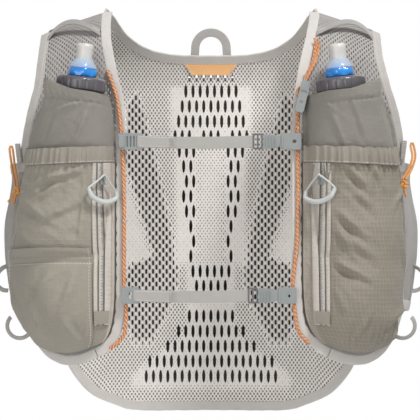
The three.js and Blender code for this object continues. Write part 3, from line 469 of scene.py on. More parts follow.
# A flat outline with convex holes, cut into triangles.
def cut_faces(outline, holes, spacing):
    outline = np.asarray(outline, float)
    low, high = outline.min(0), outline.max(0)
    xs = np.arange(low[0] + spacing / 2, high[0], spacing)
    ys = np.arange(low[1] + spacing / 2, high[1], spacing)
    dots = np.stack(np.meshgrid(xs, ys), -1)
    dots[1::2, :, 0] += spacing / 2
    dots = dots.reshape(-1, 2)
    shrunk = outline.mean(0) + (outline - outline.mean(0)) * (1 - spacing / 300)
    dots = dots[inside(dots, shrunk)]
    for hole in holes:
        centre, reach = hole.mean(0), np.ptp(hole, 0) / 2 + 0.35 * spacing
        dots = dots[(((dots - centre) / reach) ** 2).sum(1) > 1]
    points = [tuple(p) for p in outline]
    edges = [(i, (i + 1) % len(points)) for i in range(len(points))]
    owner = [-1] * len(points)
    for number, hole in enumerate(holes):
        base = len(points)
        points += [tuple(p) for p in hole]
        edges += [(base + i, base + (i + 1) % len(hole)) for i in range(len(hole))]
        owner += [number] * len(hole)
    points += [tuple(p) for p in dots]
    owner += [-1] * len(dots)
    out, _, faces, origins, _, _ = geometry.delaunay_2d_cdt([Vector(p) for p in points], edges, [], 1, 1e-5)
    number = [owner[group[0]] if len(group) else -1 for group in origins]
    kept = [tuple(face) for face in faces
            if not (number[face[0]] >= 0 and all(number[i] == number[face[0]] for i in face))]
    return np.array([tuple(p) for p in out]), kept


# Shader maths as plain expressions.
class Wire:
    def __init__(self, finish, socket):
        self.finish, self.socket = finish, socket

    def maths(self, operation, *others):
        return self.finish.add("Math", {"operation": operation}, dict(enumerate((self, *others)))).value()

    def __add__(self, other):
        return self.maths("ADD", other)

    def __sub__(self, other):
        return self.maths("SUBTRACT", other)

    def __rsub__(self, other):
        return self.finish.add("Math", {"operation": "SUBTRACT"}, {0: other, 1: self}).value()

    def __mul__(self, other):
        return self.maths("MULTIPLY", other)

    def __truediv__(self, other):
        return self.maths("DIVIDE", other)

    __radd__, __rmul__ = __add__, __mul__


class Node:
    def __init__(self, finish, node):
        self.finish, self.node = finish, node

    def value(self, name=0):
        return Wire(self.finish, self.node.outputs[name])


class Finish:
    def __init__(self, name, **constants):
        self.material = bpy.data.materials.new(name)
        self.material.use_nodes = True
        self.tree = self.material.node_tree
        self.shader = self.tree.nodes["Principled BSDF"]
        for key, value in constants.items():
            self.shader.inputs[key.replace("_", " ")].default_value = value

    def add(self, kind, settings=None, links=None):
        node = self.tree.nodes.new("ShaderNode" + kind)
        for key, value in (settings or {}).items():
            setattr(node, key, value)
        for key, value in (links or {}).items():
            if isinstance(value, Wire):
                self.tree.links.new(value.socket, node.inputs[key])
            else:
                node.inputs[key].default_value = value
        return Node(self, node)

    def feed(self, **links):
        for key, value in links.items():
            self.tree.links.new(value.socket, self.shader.inputs[key.replace("_", " ")])

    # Places on the cloth in millimetres, from the piece's own map.
    def cloth(self):
        split = self.add("SeparateXYZ", {}, {0: self.add("UVMap", {"uv_map": "cloth"}).value()})
        return split.value("X") * 100, split.value("Y") * 100

    # Places in the room in millimetres.
    def room(self):
        split = self.add("SeparateXYZ", {}, {0: self.add("TexCoord").value("Object")})
        return tuple(split.value(axis) * 1000 for axis in "XYZ")

    def join(self, x, y, z=0.0):
        return self.add("CombineXYZ", {}, {0: x, 1: y, 2: z}).value()

    def noise(self, vector, scale, detail=3.0, roughness=0.55):
        return self.add("TexNoise", {}, {
            "Vector": vector, "Scale": scale, "Detail": detail, "Roughness": roughness}).value("Fac")

    def mix(self, share, first, second):
        node = self.add("Mix", {"data_type": "RGBA"}, {0: share, 6: first, 7: second})
        return Wire(self, node.node.outputs[2])

    def wave(self, value, pitch, shift=0.0):
        return (value * (2 * math.pi / pitch) + shift).maths("COSINE")

    def step(self, value, low, high):
        return self.add("MapRange", {"interpolation_type": "SMOOTHSTEP"}, {
            "Value": value, "From Min": low, "From Max": high, "To Min": 0.0, "To Max": 1.0}).value()

    def bump(self, height, distance, strength=1.0):
        self.feed(Normal=self.add("Bump", {}, {
            "Height": height, "Distance": distance * 0.001, "Strength": strength}).value())


def rgb(*levels):
    return tuple(c / 255 / 12.92 if c <= 10 else ((c / 255 + 0.055) / 1.055) ** 2.4 for c in levels) + (1,)


# Knitted mesh. Long slits open where the mark "open" is high, and small dents stand where "fine" is; the dents and
# the rims of the slits are darkened as painted shade.
def knit_finish(name, light, dark, slit, dent, dent_shade_colour):
    finish = Finish(name, Roughness=0.9, Sheen_Weight=0.1)
    s, t = finish.cloth()
    column = finish.wave(s, slit[0])
    narrow = column * column
    narrow = narrow * narrow
    wide_net = (narrow * column * finish.wave(t, slit[1]) + narrow * narrow * 0.4) * 0.72
    fine_net = finish.wave(s, dent[0]) * finish.wave(t, dent[1])
    openness = finish.add("Attribute", {"attribute_name": "open"}).value("Fac")
    fineness = finish.add("Attribute", {"attribute_name": "fine"}).value("Fac")
    wide_edge, fine_edge = wide_net - (1.05 - openness), fine_net - (1.05 - fineness)
    hole = finish.step(wide_edge, -0.06, 0.06)
    spot = finish.step(fine_edge, -0.12, 0.16)
    yarn = finish.wave(s, 0.9) * finish.wave(t, 1.3)
    base = finish.mix(finish.noise(finish.join(s, t), 0.06), light, dark)
    base = finish.mix(finish.step(yarn, -0.2, 0.9) * 0.12, base, rgb(150, 142, 134))
    # Painted shade: the small dents take a dark colour, as the shade inside them.
    base = finish.mix(spot * 0.9, base, dent_shade_colour)
    # Painted shade: the rims round the long slits are darkened, as the shade at their edges.
    rim = finish.step(wide_edge, -0.5, 0.0)
    base = finish.mix(rim * 0.25, base, rgb(130, 120, 112))
    finish.feed(Base_Color=base, Alpha=1 - hole)
    finish.bump(yarn * 0.25 - rim - spot, 0.5)
    return finish.material


# Ripstop: a plain weave with a square net of thicker threads, creased by wear.
def ripstop_finish(name, ground, thread, pitch, lines=1.0):
    finish = Finish(name, Roughness=0.62, Sheen_Weight=0.1)
    s, t = finish.cloth()
    pale = finish.add("Attribute", {"attribute_name": "pale"}).value("Fac")
    line_s = finish.step(finish.wave(s, pitch), 0.82, 0.97)
    line_t = finish.step(finish.wave(t, pitch), 0.82, 0.97)
    lines_wire = line_s.maths("MAXIMUM", line_t)
    cloud = finish.noise(finish.join(s, t), 0.035, 4.0)
    creases = finish.noise(finish.join(s, t), 0.16, 5.0, 0.6)
    base = finish.mix(cloud, ground, tuple(c * 0.86 for c in ground[:3]) + (1,))
    base = finish.mix(lines_wire * (0.5 * lines), base, thread)
    base = finish.mix(pale, base, rgb(180, 172, 162))
    finish.feed(Base_Color=base)
    weave = finish.wave(s, 0.7) * finish.wave(t, 0.7)
    finish.bump(creases * 2.2 + lines_wire * 0.25 + weave * 0.08, 0.55)
    return finish.material


def woven_finish(name, light, dark, pitch, roughness=0.85, ribs=0.5):
    finish = Finish(name, Roughness=roughness, Sheen_Weight=0.1)
    s, t = finish.cloth()
    twill = finish.wave(s + t, pitch)
    cross = finish.wave(s, pitch * 0.5)
    cloud = finish.noise(finish.join(s, t), 0.09, 3.0)
    base = finish.mix(cloud, light, dark)
    base = finish.mix(finish.step(twill, -0.4, 0.9) * 0.28, base, tuple(c * 0.62 for c in light[:3]) + (1,))
    finish.feed(Base_Color=base)
    finish.bump(twill * ribs + cross * 0.25, 0.25)
    return finish.material


def zip_finish(name):
    finish = Finish(name, Roughness=0.85)
    s, t = finish.cloth()
    groove = finish.add("Attribute", {"attribute_name": "groove"}).value("Fac")
    base = finish.mix(finish.noise(finish.join(s, t), 0.08), rgb(204, 197, 188), rgb(186, 179, 170))
    # Painted shade: where the mark "groove" is high the tape turns deep brown, as the shade in its grooves.
    finish.feed(Base_Color=finish.mix(groove, base, rgb(96, 89, 82)))
    finish.bump(finish.wave(t, 1.3), 0.25)
    return finish.material


def cord_finish(name, ground, fleck, share, pitch=1.6, twist=0.0):
    finish = Finish(name, Roughness=0.75)
    s, t = finish.cloth()
    braid = finish.wave(s + t * 0.9, pitch) * finish.wave(s - t * 0.9, pitch)
    spots = finish.step(finish.noise(finish.join(s * 0.6, t), 0.75, 1.0), 1 - share, 1.06 - share)
    base = finish.mix(finish.step(braid, -0.5, 0.6), tuple(c * 0.72 for c in ground[:3]) + (1,), ground)
    if twist:
        base = finish.mix(finish.step(finish.wave(s * 0.8 + t, 3.6), 0.0, 0.6) * twist, base, fleck)
    finish.feed(Base_Color=finish.mix(spots, base, fleck))
    finish.bump(braid, 0.3)
    return finish.material


def plastic_finish(name, light, dark, roughness, scale=0.08, grain=0.05, **constants):
    finish = Finish(name, **constants)
    x, y, z = finish.room()
    cloud = finish.noise(finish.join(x, y, z), scale, 3.0)
    fine = finish.noise(finish.join(x, y, z), 2.2, 2.0)
    finish.feed(Base_Color=finish.mix(cloud, light, dark), Roughness=fine * 0.2 + (roughness - 0.1))
    finish.bump(fine, grain)
    return finish.material


# The last colour of each knit is the painted shade of its small dents.
KNIT = knit_finish("knit mesh", rgb(240, 234, 229), rgb(226, 220, 215), (7.4, 9.2), (3.9, 5.7), rgb(104, 97, 92))
STRAP_KNIT = knit_finish("strap mesh", rgb(176, 172, 169), rgb(152, 148, 145), (4.6, 6.6), (3.9, 7.8),
                         rgb(96, 90, 86))
POCKET = ripstop_finish("ripstop pocket cloth", rgb(131, 124, 111), rgb(160, 153, 141), 4.6, 0.75)
SMOOTH = ripstop_finish("smooth pocket cloth", rgb(146, 140, 128), rgb(158, 152, 140), 4.2, 0.3)
SLEEVE_CLOTH = ripstop_finish("smooth sleeve cloth", rgb(138, 134, 126), rgb(146, 142, 133), 2.1, 0.4)
CUFF = woven_finish("stretch cuff", rgb(160, 153, 142), rgb(146, 139, 128), 1.4)
LINING = woven_finish("dark lining", rgb(62, 57, 52), rgb(44, 40, 36), 1.0)
TAPE = woven_finish("folded tape", rgb(208, 203, 198), rgb(194, 189, 184), 1.1, 0.8, 0.3)
WEB = woven_finish("webbing", rgb(182, 178, 174), rgb(168, 164, 160), 1.6, 0.8, 0.9)
ZIP_TAPE = zip_finish("zip tape")
# Painted shadow: dark cloth for the sheet that stands in the gap beside each zip pocket.
GAP_SHADE_CLOTH = woven_finish("seam in shade", rgb(96, 89, 82), rgb(74, 68, 62), 1.2)
# Painted shade: the folded tape again, painted darker for the armholes.
SHADED_ARMHOLE_TAPE = woven_finish("armhole tape", rgb(188, 183, 178), rgb(174, 169, 164), 1.1, 0.8, 0.3)
LABEL = woven_finish("orange label", rgb(255, 200, 140), rgb(252, 190, 128), 0.9, 0.75, 0.2)
THREAD = plastic_finish("thread", rgb(214, 210, 204), rgb(196, 192, 186), 0.7)
RAIL = cord_finish("flecked cord", rgb(222, 124, 52), rgb(240, 206, 172), 0.4, twist=0.75)
DRAW = cord_finish("draw cord", rgb(255, 178, 100), rgb(255, 210, 150), 0.3)
PLASTIC = plastic_finish("grey plastic", rgb(136, 140, 139), rgb(122, 127, 127), 0.45)
PALE_PLASTIC = plastic_finish("pale grip", rgb(188, 191, 188), rgb(176, 179, 177), 0.4)
DARK_PLASTIC = plastic_finish("slider plastic", rgb(104, 104, 104), rgb(84, 84, 84), 0.4)
CAP = plastic_finish("cap plastic", rgb(92, 88, 93), rgb(72, 68, 74), 0.38, Coat_Weight=0.2)
LOCK = plastic_finish("blue lock", rgb(40, 140, 216), rgb(24, 112, 194), 0.22, Coat_Weight=0.5)
VALVE = plastic_finish("milky silicone", rgb(190, 190, 187), rgb(176, 176, 173), 0.3, Subsurface_Weight=0.2)
SKIRT = plastic_finish("clear skirt", rgb(196, 208, 222), rgb(176, 194, 214), 0.15, Alpha=0.55)
FILM = plastic_finish("flask film", rgb(196, 200, 204), rgb(180, 186, 192), 0.2)


# Geometry nodes that set one small piece at every point of a mesh, turned by its own mark.
def scatter_tree():
    tree = bpy.data.node_groups.new("set pieces", "GeometryNodeTree")
    face = tree.interface
    face.new_socket("Geometry", in_out="INPUT", socket_type="NodeSocketGeometry")
    for name, kind in (("Piece", "NodeSocketObject"), ("Size", "NodeSocketFloat"), ("Finish", "NodeSocketMaterial")):
        face.new_socket(name, in_out="INPUT", socket_type=kind)
    face.new_socket("Geometry", in_out="OUTPUT", socket_type="NodeSocketGeometry")

    def add(kind, **settings):
        node = tree.nodes.new(kind)
        for key, value in settings.items():
            setattr(node, key, value)
        return node
    start, end = add("NodeGroupInput"), add("NodeGroupOutput")
    piece = add("GeometryNodeObjectInfo")
    turn = add("GeometryNodeInputNamedAttribute", data_type="FLOAT_VECTOR")
    turn.inputs["Name"].default_value = "turn"
    spread, real = add("GeometryNodeInstanceOnPoints"), add("GeometryNodeRealizeInstances")
    paint = add("GeometryNodeSetMaterial")
    for source, target in (
            (start.outputs["Geometry"], spread.inputs["Points"]), (start.outputs["Piece"], piece.inputs["Object"]),
            (piece.outputs["Geometry"], spread.inputs["Instance"]),
            (turn.outputs["Attribute"], spread.inputs["Rotation"]),
            (start.outputs["Size"], spread.inputs["Scale"]), (spread.outputs["Instances"], real.inputs["Geometry"]),
            (real.outputs["Geometry"], paint.inputs["Geometry"]), (start.outputs["Finish"], paint.inputs["Material"]),
            (paint.outputs["Geometry"], end.inputs["Geometry"])):
        tree.links.new(source, target)
    return tree


SCATTER = scatter_tree()


def set_pieces(name, places, alongs, ups, piece, finish, size=1.0):
    mesh = bpy.data.meshes.new(name)
    mesh.from_pydata((np.asarray(places) * 0.001).tolist(), [], [])
    turns = []
    for along, up in zip(alongs, ups):
        x = Vector(along).normalized()
        z = Vector(up)
        z = (z - x * z.dot(x)).normalized()
        turns.append(Matrix((x, z.cross(x), z)).transposed().to_euler())
    mesh.attributes.new("turn", "FLOAT_VECTOR", "POINT").data.foreach_set(
        "vector", np.array([tuple(t) for t in turns], np.float32).ravel())
    obj = bpy.data.objects.new(name, mesh)
    bpy.context.scene.collection.objects.link(obj)
    modifier = obj.modifiers.new("pieces", "NODES")
    modifier.node_group = SCATTER
    names = {item.name: item.identifier for item in SCATTER.interface.items_tree if item.in_out == "INPUT"}
    modifier[names["Piece"]], modifier[names["Size"]], modifier[names["Finish"]] = piece, size, finish
    bpy.context.view_layer.update()
    baked = bpy.data.meshes.new_from_object(obj.evaluated_get(bpy.context.evaluated_depsgraph_get()))
    obj.modifiers.clear()
    obj.data = baked
    baked.shade_smooth()
    return settle(obj, finish)


def small_piece(name, build):
    mesh = bmesh.new()
    build(mesh)
    data = bpy.data.meshes.new(name)
    mesh.to_mesh(data)
    mesh.free()
    obj = bpy.data.objects.new(name, data)
    bpy.context.scene.collection.objects.link(obj)
    return obj


def stitch_shape(mesh):
    bmesh.ops.create_uvsphere(mesh, u_segments=8, v_segments=5, radius=0.5)
    bmesh.ops.scale(mesh, vec=(2.3e-3, 0.62e-3, 0.5e-3), verts=mesh.verts)


def tooth_shape(mesh):
    bmesh.ops.create_cube(mesh, size=1)
    bmesh.ops.scale(mesh, vec=(0.8e-3, 2.4e-3, 0.9e-3), verts=mesh.verts)
    bmesh.ops.bevel(mesh, geom=mesh.edges[:], offset=0.18e-3, segments=1, affect="EDGES")


STITCH = small_piece("stitch shape", stitch_shape)
TOOTH = small_piece("tooth shape", tooth_shape)
stitch_rows = []


def stitch_along(path, ups, pitch=3.6, lift=0.15):
    path, ups = np.asarray(path, float), np.asarray(ups, float)
    length = np.concatenate([[0], np.cumsum(np.linalg.norm(np.diff(path, axis=0), axis=-1))])
    at = np.arange(pitch / 2, length[-1], pitch)
    place = np.stack([np.interp(at, length, path[:, i]) for i in range(3)], -1)
    ahead = np.stack([np.interp(at + 0.8, length, path[:, i]) for i in range(3)], -1)
    behind = np.stack([np.interp(at - 0.8, length, path[:, i]) for i in range(3)], -1)
    up = unit(np.stack([np.interp(at, length, ups[:, i]) for i in range(3)], -1))
    stitch_rows.append((place + up * lift, unit(ahead - behind), up))


# A row of stitches on the outside of one layer of cloth.
def stitch_cloth(spot, u, v, lift, pitch=CLOTH_STITCH):
    stitch_along(lifted(spot, u, v, lift + SKIN_WALL), normal_at(spot, u, v), pitch)


# Camera, floor, lamps and white world.
def stage():
    data = bpy.data.cameras.new("camera")
    data.sensor_width = 36
    data.lens = 2300 / 420 * 36
    data.clip_end = 60
    camera = bpy.data.objects.new("camera", data)
    camera.location = (-0.001, -2.41, -0.205)
    camera.rotation_euler = (math.pi / 2, 0, 0)
    bpy.context.scene.collection.objects.link(camera)
    bpy.context.scene.camera = camera

    floor_mesh = bpy.data.meshes.new("floor")
    floor_mesh.from_pydata([(-4, -4, -1.15), (4, -4, -1.15), (4, 4, -1.15), (-4, 4, -1.15)], [], [(0, 1, 2, 3)])
    floor = bpy.data.objects.new("floor", floor_mesh)
    bpy.context.scene.collection.objects.link(floor)
    floor_mesh.materials.append(plastic_finish("pale floor", rgb(244, 244, 243), rgb(238, 238, 237), 0.85))

    for name, place, aim, size, power in (
            ("key", (1.0, -1.5, 2.0), (0, 0, -0.2), 0.5, 72),
            ("front", (-1.1, -2.9, 0.2), (0, 0, -0.2), 1.6, 30),
            ("rim", (0.6, 2.2, 1.4), (0, 0, -0.2), 1.5, 16)):
        lamp = bpy.data.lights.new(name, "AREA")
        lamp.energy, lamp.size = power, size
        light = bpy.data.objects.new(name, lamp)
        light.location = place
        light.rotation_euler = (Vector(aim) - Vector(place)).to_track_quat("-Z", "Y").to_euler()
        bpy.context.scene.collection.objects.link(light)

    world = bpy.data.worlds.new("studio")
    world.use_nodes = True
    tree = world.node_tree
    soft = tree.nodes["Background"]
    soft.inputs[0].default_value, soft.inputs[1].default_value = (1, 1, 1, 1), 0.45
    white = tree.nodes.new("ShaderNodeBackground")
    white.inputs[1].default_value = 1.0
    white.inputs[0].default_value = (1, 1, 1, 1)
    ray, mixer = tree.nodes.new("ShaderNodeLightPath"), tree.nodes.new("ShaderNodeMixShader")
    tree.links.new(ray.outputs["Is Camera Ray"], mixer.inputs[0])
    tree.links.new(soft.outputs[0], mixer.inputs[1])
    tree.links.new(white.outputs[0], mixer.inputs[2])
    tree.links.new(mixer.outputs[0], tree.nodes["World Output"].inputs[0])
    bpy.context.scene.world = world
    bpy.context.scene.view_settings.view_transform = "Standard"


# Routes of the drawcords: share of the half width, share of the front length, lift.
DRAW_ROUTE = {
    "left": [(0.944, 0.4, 5), (0.93, 0.451, 9), (0.902, 0.52, 12.6)],
    "right": [(0.949, 0.391, 5), (0.958, 0.423, 8), (0.935, 0.457, 10), (0.902, 0.497, 11)],
}
TAILS = {"left": [(-9, -11), (-4, -14)], "right": [(2, -13)]}


# A doubled elastic cord through its tab, with its two strands in one knot.
def draw_cords():
    spread = DRAW_RADIUS + 0.3
    for side, sign, _ in SIDES:
        route = []
        for n, (x, d, lift) in enumerate(DRAW_ROUTE[side]):
            inward, proud = (0, 0) if n == 0 else (DRAW_ASIDE, DRAW_PROUD)
            route.append(front_point(sign * (x - inward) * HALF_WIDTH, -d * FRONT_LENGTH, lift + proud)[0])
        route = np.array(route)
        aside = np.array([spread, 0, 0])
        points = [*(route - aside)[::-1], route[0] + (0, 0, 2.5), *(route + aside)]
        path = smooth_path(points, 34)
        cord = tube(f"drawcord_{side}_cord", path, DRAW_RADIUS, 10)
        settle(cord, DRAW, [f"drawcord_{side}"])
        centre = route[-1] + (0, 0, -KNOT_RADIUS - GAP)
        knot = trefoil(centre, (1.15, 1.265, 1.15), 1.45)
        ends = []
        for x, z in TAILS[side]:
            tail = smooth_path([centre, centre + (x / 2, -0.4, z / 2), centre + (x, 0.2, z)], 9)
            ends.append(tube("tail", tail, DRAW_RADIUS, 8))
        whole = join(f"drawcord_{side}_knot", [knot, *ends])
        settle(whole, DRAW, [f"drawcord_knot_{side}"])


# Height and place along the cloth, measured down from the shoulder seam.
def cloth_down(x, z):
    drop = (ridge(x) - z) / SHOULDER_ROUND
    rolled = SHOULDER_ROUND * np.arccos(np.clip(1 - drop, -1, 1))
    return np.where(drop < 1, rolled, SHOULDER_ROUND * (math.pi / 2 - 1) + ridge(x) - z)


def cloth_height(x, t):
    bend = SHOULDER_ROUND * math.pi / 2
    rolled = ridge(x) - SHOULDER_ROUND * (1 - np.cos(np.minimum(t, bend) / SHOULDER_ROUND))
    return np.where(t < bend, rolled, ridge(x) - SHOULDER_ROUND - (t - bend))


# A long gap of the knit, pointed at both ends.
def lens(x, t, width, height, corners=10):
    turns = np.linspace(0, 2 * math.pi, corners, endpoint=False)
    return np.stack([x + 0.5 * width * np.sin(turns) * np.abs(np.sin(turns)) ** 0.1,
                     t + 0.5 * height * np.cos(turns)], -1)


def body_side(sign):
    def spot(x, z):
        return np.stack([x, sign * np.maximum(GAP / 2, depth(x, z)), z], -1)

    def normal(x, z):
        step = 0.6
        along = spot(x + step, z) - spot(x - step, z)
        below = spot(x, z - step) - spot(x, np.minimum(z + step, ridge(x)))
        out = unit(np.cross(along, below))
        outside = np.stack([x * 0.2, sign * np.maximum(depth(x, z), 1), np.full_like(x, 40)], -1)
        return np.where((out * outside).sum(-1, keepdims=True) < 0, -out, out)
    return spot, normal


# A net of the body's form, cut from a flat outline with its holes.
def net_panel(name, sign, outline, holes, marks, finish, nodes, spacing=5.0):
    flat, faces = cut_faces(outline, holes, spacing)
    x, t = flat[:, 0], flat[:, 1]
    z = np.minimum(cloth_height(x, t), ridge(x) - 0.01)
    spot, normal = body_side(sign)
    base, out = spot(x, z), normal(x, z)
    obj = thick_mesh(name, base, base + out * CLOTH_WALL, faces, flat, marks(x, z), 50)
    settle(obj, finish, nodes)
    return obj


def to_flat(points):
    return np.stack([points[:, 0], cloth_down(points[:, 0], points[:, 2])], -1)


# The knit of the back, with its long gaps cut through.
def knitted_back():
    down = np.linspace(0, 1, 90)
    across = np.linspace(-1, 1, 71)
    top = to_flat(back_spot(across[1:-1], 0 * across[1:-1]))
    right = to_flat(back_spot(np.ones_like(down), down))
    hem = to_flat(back_spot(across[1:-1][::-1], np.ones(69)))
    left = to_flat(back_spot(-np.ones_like(down), down[::-1]))
    outline = np.concatenate([top, right, hem, left])
    holes = []
    for row, near, count in HOLE_ROWS:
        z = -(FIRST_HOLE + row * ROW_PITCH)
        reach = np.interp(-z, [305, 320, 336, 352, 368, 384], [0, 30, 40, 54, 70, 78])
        for step in range(max(count, int(reach / HOLE_PITCH - near + 0.5))):
            x = (near + step) * HOLE_PITCH
            for place in {x, -x}:
                t = float(cloth_down(np.array(place), np.array(z)))
                holes.append(lens(place, t, HOLE_WIDTH, HOLE_HEIGHT))
    for step in range(-TOP_HOLES, TOP_HOLES + 1):
        x = step * HOLE_PITCH
        t = float(cloth_down(np.array(x), np.array(-TOP_HOLE)))
        holes.append(lens(x, t, 0.8 * HOLE_WIDTH, TOP_HOLE_HEIGHT))

    # Solid wedges beside the fronts, slits on the flanks, small dents in between.
    def marks(x, z):
        far, drop = np.abs(x), -z
        inner = np.interp(drop, [78, 128, 200, 270, 300, 345], [78, 64, 48, 34, 38, 62])
        outer = np.interp(drop, [72, 90, 150, 160, 255, 266, 300, 345], [80, 94, 100, 94, 66, 94, 100, 88])
        flank = ramp(far - inner, -3, 3) * (1 - ramp(far - outer, -4, 0))
        flank = flank * ramp(drop, 70, 78) * (1 - ramp(drop, 344, 358))
        solid = ramp(far - outer, -2, 3) * ramp(drop, 150, 160) * (1 - ramp(drop, 262, 272))
        big_rows = ramp(drop, 68, 72) * (1 - ramp(far, 42, 46)) * (1 - ramp(drop, 134, 138))
        columns = (ramp(far, 14, 17) * (1 - ramp(far, 37, 40))) * ramp(drop, 132, 138) * (1 - ramp(drop, 262, 266))
        spread = 24 + 60 * ramp(drop, 330, 392)
        low_rows = ramp(drop, 262, 266) * (1 - ramp(far - spread, 0, 5)) * (1 - ramp(drop, 395, 402))
        bare = np.maximum.reduce([big_rows, columns, low_rows, solid])
        middle = (1 - ramp(far, 12, 15)) * ramp(drop, 136, 144) * (1 - ramp(drop, 262, 266))
        fine = (0.5 - 0.26 * middle) * (1 - flank) * (1 - 0.85 * bare)
        return {"open": 1.02 * flank * (1 - bare), "fine": 1.66 * fine}
    net_panel("back_knit", 1, outline, holes, marks, KNIT, ["back_panel"])


def back_bulge(u, v, half):
    return BACK_BULGE * np.maximum(
        0, np.cos(0.5 * math.pi * u / half) * np.sin(math.pi * np.clip((v - 0.2) / 0.77, 0, 1)))


# The lining behind the knit, seen through its gaps.
def back_lining():
    u, v = np.meshgrid(np.linspace(-0.6, 0.6, 49), np.linspace(0.2, 0.965, 61))
    place = back_spot(u, v)
    crease = 0.7 * ripple(place[..., 0], place[..., 2], 46, 5)
    low = CLOTH_WALL + GAP + back_bulge(u, v, 0.6) + np.maximum(0, crease * ramp(0.6 - np.abs(u), 0, 0.1))
    obj = layer("back_cloth", back_spot, u, v, low)
    settle(obj, LINING, ["back_pocket"])


def back_yokes():
    u, v = np.meshgrid(np.linspace(-0.62, 0.62, 49), np.linspace(0.05, 0.215, 20))
    settle(layer("back_yoke", back_spot, u, v, CLOTH_WALL + GAP + 0.6), LINING)
    u, v = np.meshgrid(np.linspace(-BACK_HALF, BACK_HALF, 60), np.linspace(0.045, 0.4, 40))
    yoke = layer("back_yoke_outer", back_spot, u, v, CLOTH_WALL + GAP + back_bulge(u, v, BACK_HALF) + 2.0)
    settle(yoke, SMOOTH)


# The pocket on the outside of the back, gathered by its elastic edge.
def outer_back_pocket():
    u, v = np.meshgrid(np.linspace(-BACK_HALF, BACK_HALF, 90), np.linspace(0.33, 0.967, 100))
    place = back_spot(u, v)
    x = place[..., 0]
    pull = 0.8 * np.abs(np.sin(x / 3.1 + 2 * np.sin(x / 17))) * (1 - ramp(v, 0.35, 0.43))
    hem = 0.8 * (1 - ramp(v, 0.34, 0.36)) - 0.6 * np.exp(-((v - 0.365) / 0.004) ** 2)
    crease = 0.9 * ripple(x, place[..., 2], 60, 6) * ramp(BACK_HALF - np.abs(u), 0, 0.12) * ramp(v, 0.36, 0.45)
    low = CLOTH_WALL + GAP + back_bulge(u, v, BACK_HALF) + 3.0 + pull + hem + np.maximum(0, crease)
    outer = layer("back_pocket_outer", back_spot, u, v, low)
    settle(outer, POCKET)
    hem_row = 6
    stitch_cloth(back_spot, u[hem_row], v[hem_row], low[hem_row])
    for edge in (2, -3):
        stitch_cloth(back_spot, u[::3, edge], v[::3, edge], low[::3, edge])


# The knitted ground of each front with its strap, and the mesh under the arm.
def front_bases():
    for side, _, _ in SIDES:
        spot = front_spot(side)
        down, across = np.linspace(0, 1, 90), np.linspace(0, 1, 12)
        inner = to_flat(spot(np.zeros_like(down), down))
        hem = to_flat(spot(across[1:-1], np.ones(10)))
        outer = to_flat(spot(np.ones_like(down), down[::-1]))
        top = to_flat(spot(across[1:-1][::-1], np.zeros(10)))
        outline = np.concatenate([inner, hem, outer, top])

        def marks(x, z):
            return {"open": 0.72 + 0.1 * ramp(np.abs(x), 125, 150) - 0.5 * ramp(-z, 150, 180), "fine": 0 * x}
        net_panel(f"front_knit_{side}", -1, outline, [], marks, STRAP_KNIT, [f"front_base_{side}"])
        flank = side_spot(side)
        u, v = np.meshgrid(np.linspace(0, 1, 31), np.linspace(0, 1, 43))
        obj = layer(f"side_knit_{side}", flank, u, v, 0, CLOTH_WALL, {"open": 0 * u + 0.5, "fine": 0 * u})
        settle(obj, STRAP_KNIT, [f"side_mesh_{side}"])


# Tape folded over an edge, with a row of stitches along its inner side.
def folded_tape(name, node, stops, ring=False):
    edge, outs, ups = [], [], []
    for spot, u, v, inward_u, inward_v in stops:
        normal = normal_at(spot, u, v)
        edge.append(spot(u, v) + normal * CLOTH_WALL / 2)
        ups.append(normal)
        outs.append(spot(inward_u, inward_v) - spot(u, v))
    edge, inward, ups = (np.concatenate(part) for part in (edge, outs, ups))
    if ring:
        along = unit(np.roll(edge, -1, 0) - np.roll(edge, 1, 0))
    else:
        along = unit(np.gradient(edge, axis=0))
    out = unit(np.cross(ups, along))
    out = np.where((out * inward).sum(-1, keepdims=True) > 0, -out, out)
    count = len(edge)
    reach = np.arange(count) * 1.0
    wander = 0.12 * np.sin(reach * 0.9) + 0.1 * np.sin(reach * 0.37 + 1)
    base = np.array(flat_section(TAPE_WIDTH + 1.6, TAPE_THICK, -1.4, 0.25, 0.6, 6))
    sections = np.repeat(base[None], count, 0)
    sections[..., 0] += wander[:, None] * (base[None, :, 0] > 4)
    obj = sweep(name, edge, out, ups, sections, ring)
    # The armhole tapes take the darker copy of the tape, which is painted shade.
    settle(obj, SHADED_ARMHOLE_TAPE if "armhole" in name else TAPE, [node])
    seam = edge + out * 1.3 + ups * (TAPE_THICK / 2 + 0.12)
    if ring:
        seam, stitch_up = np.concatenate([seam, seam[:1]]), np.concatenate([ups, ups[:1]])
    else:
        stitch_up = ups
    stitch_along(seam, stitch_up)
    return edge, out, ups


def run_of(spot, us, vs, inward_u, inward_v):
    us, vs = np.broadcast_arrays(np.asarray(us, float), np.asarray(vs, float))
    return spot, us, vs, lerp(us, inward_u, 0.05), lerp(vs, inward_v, 0.05)


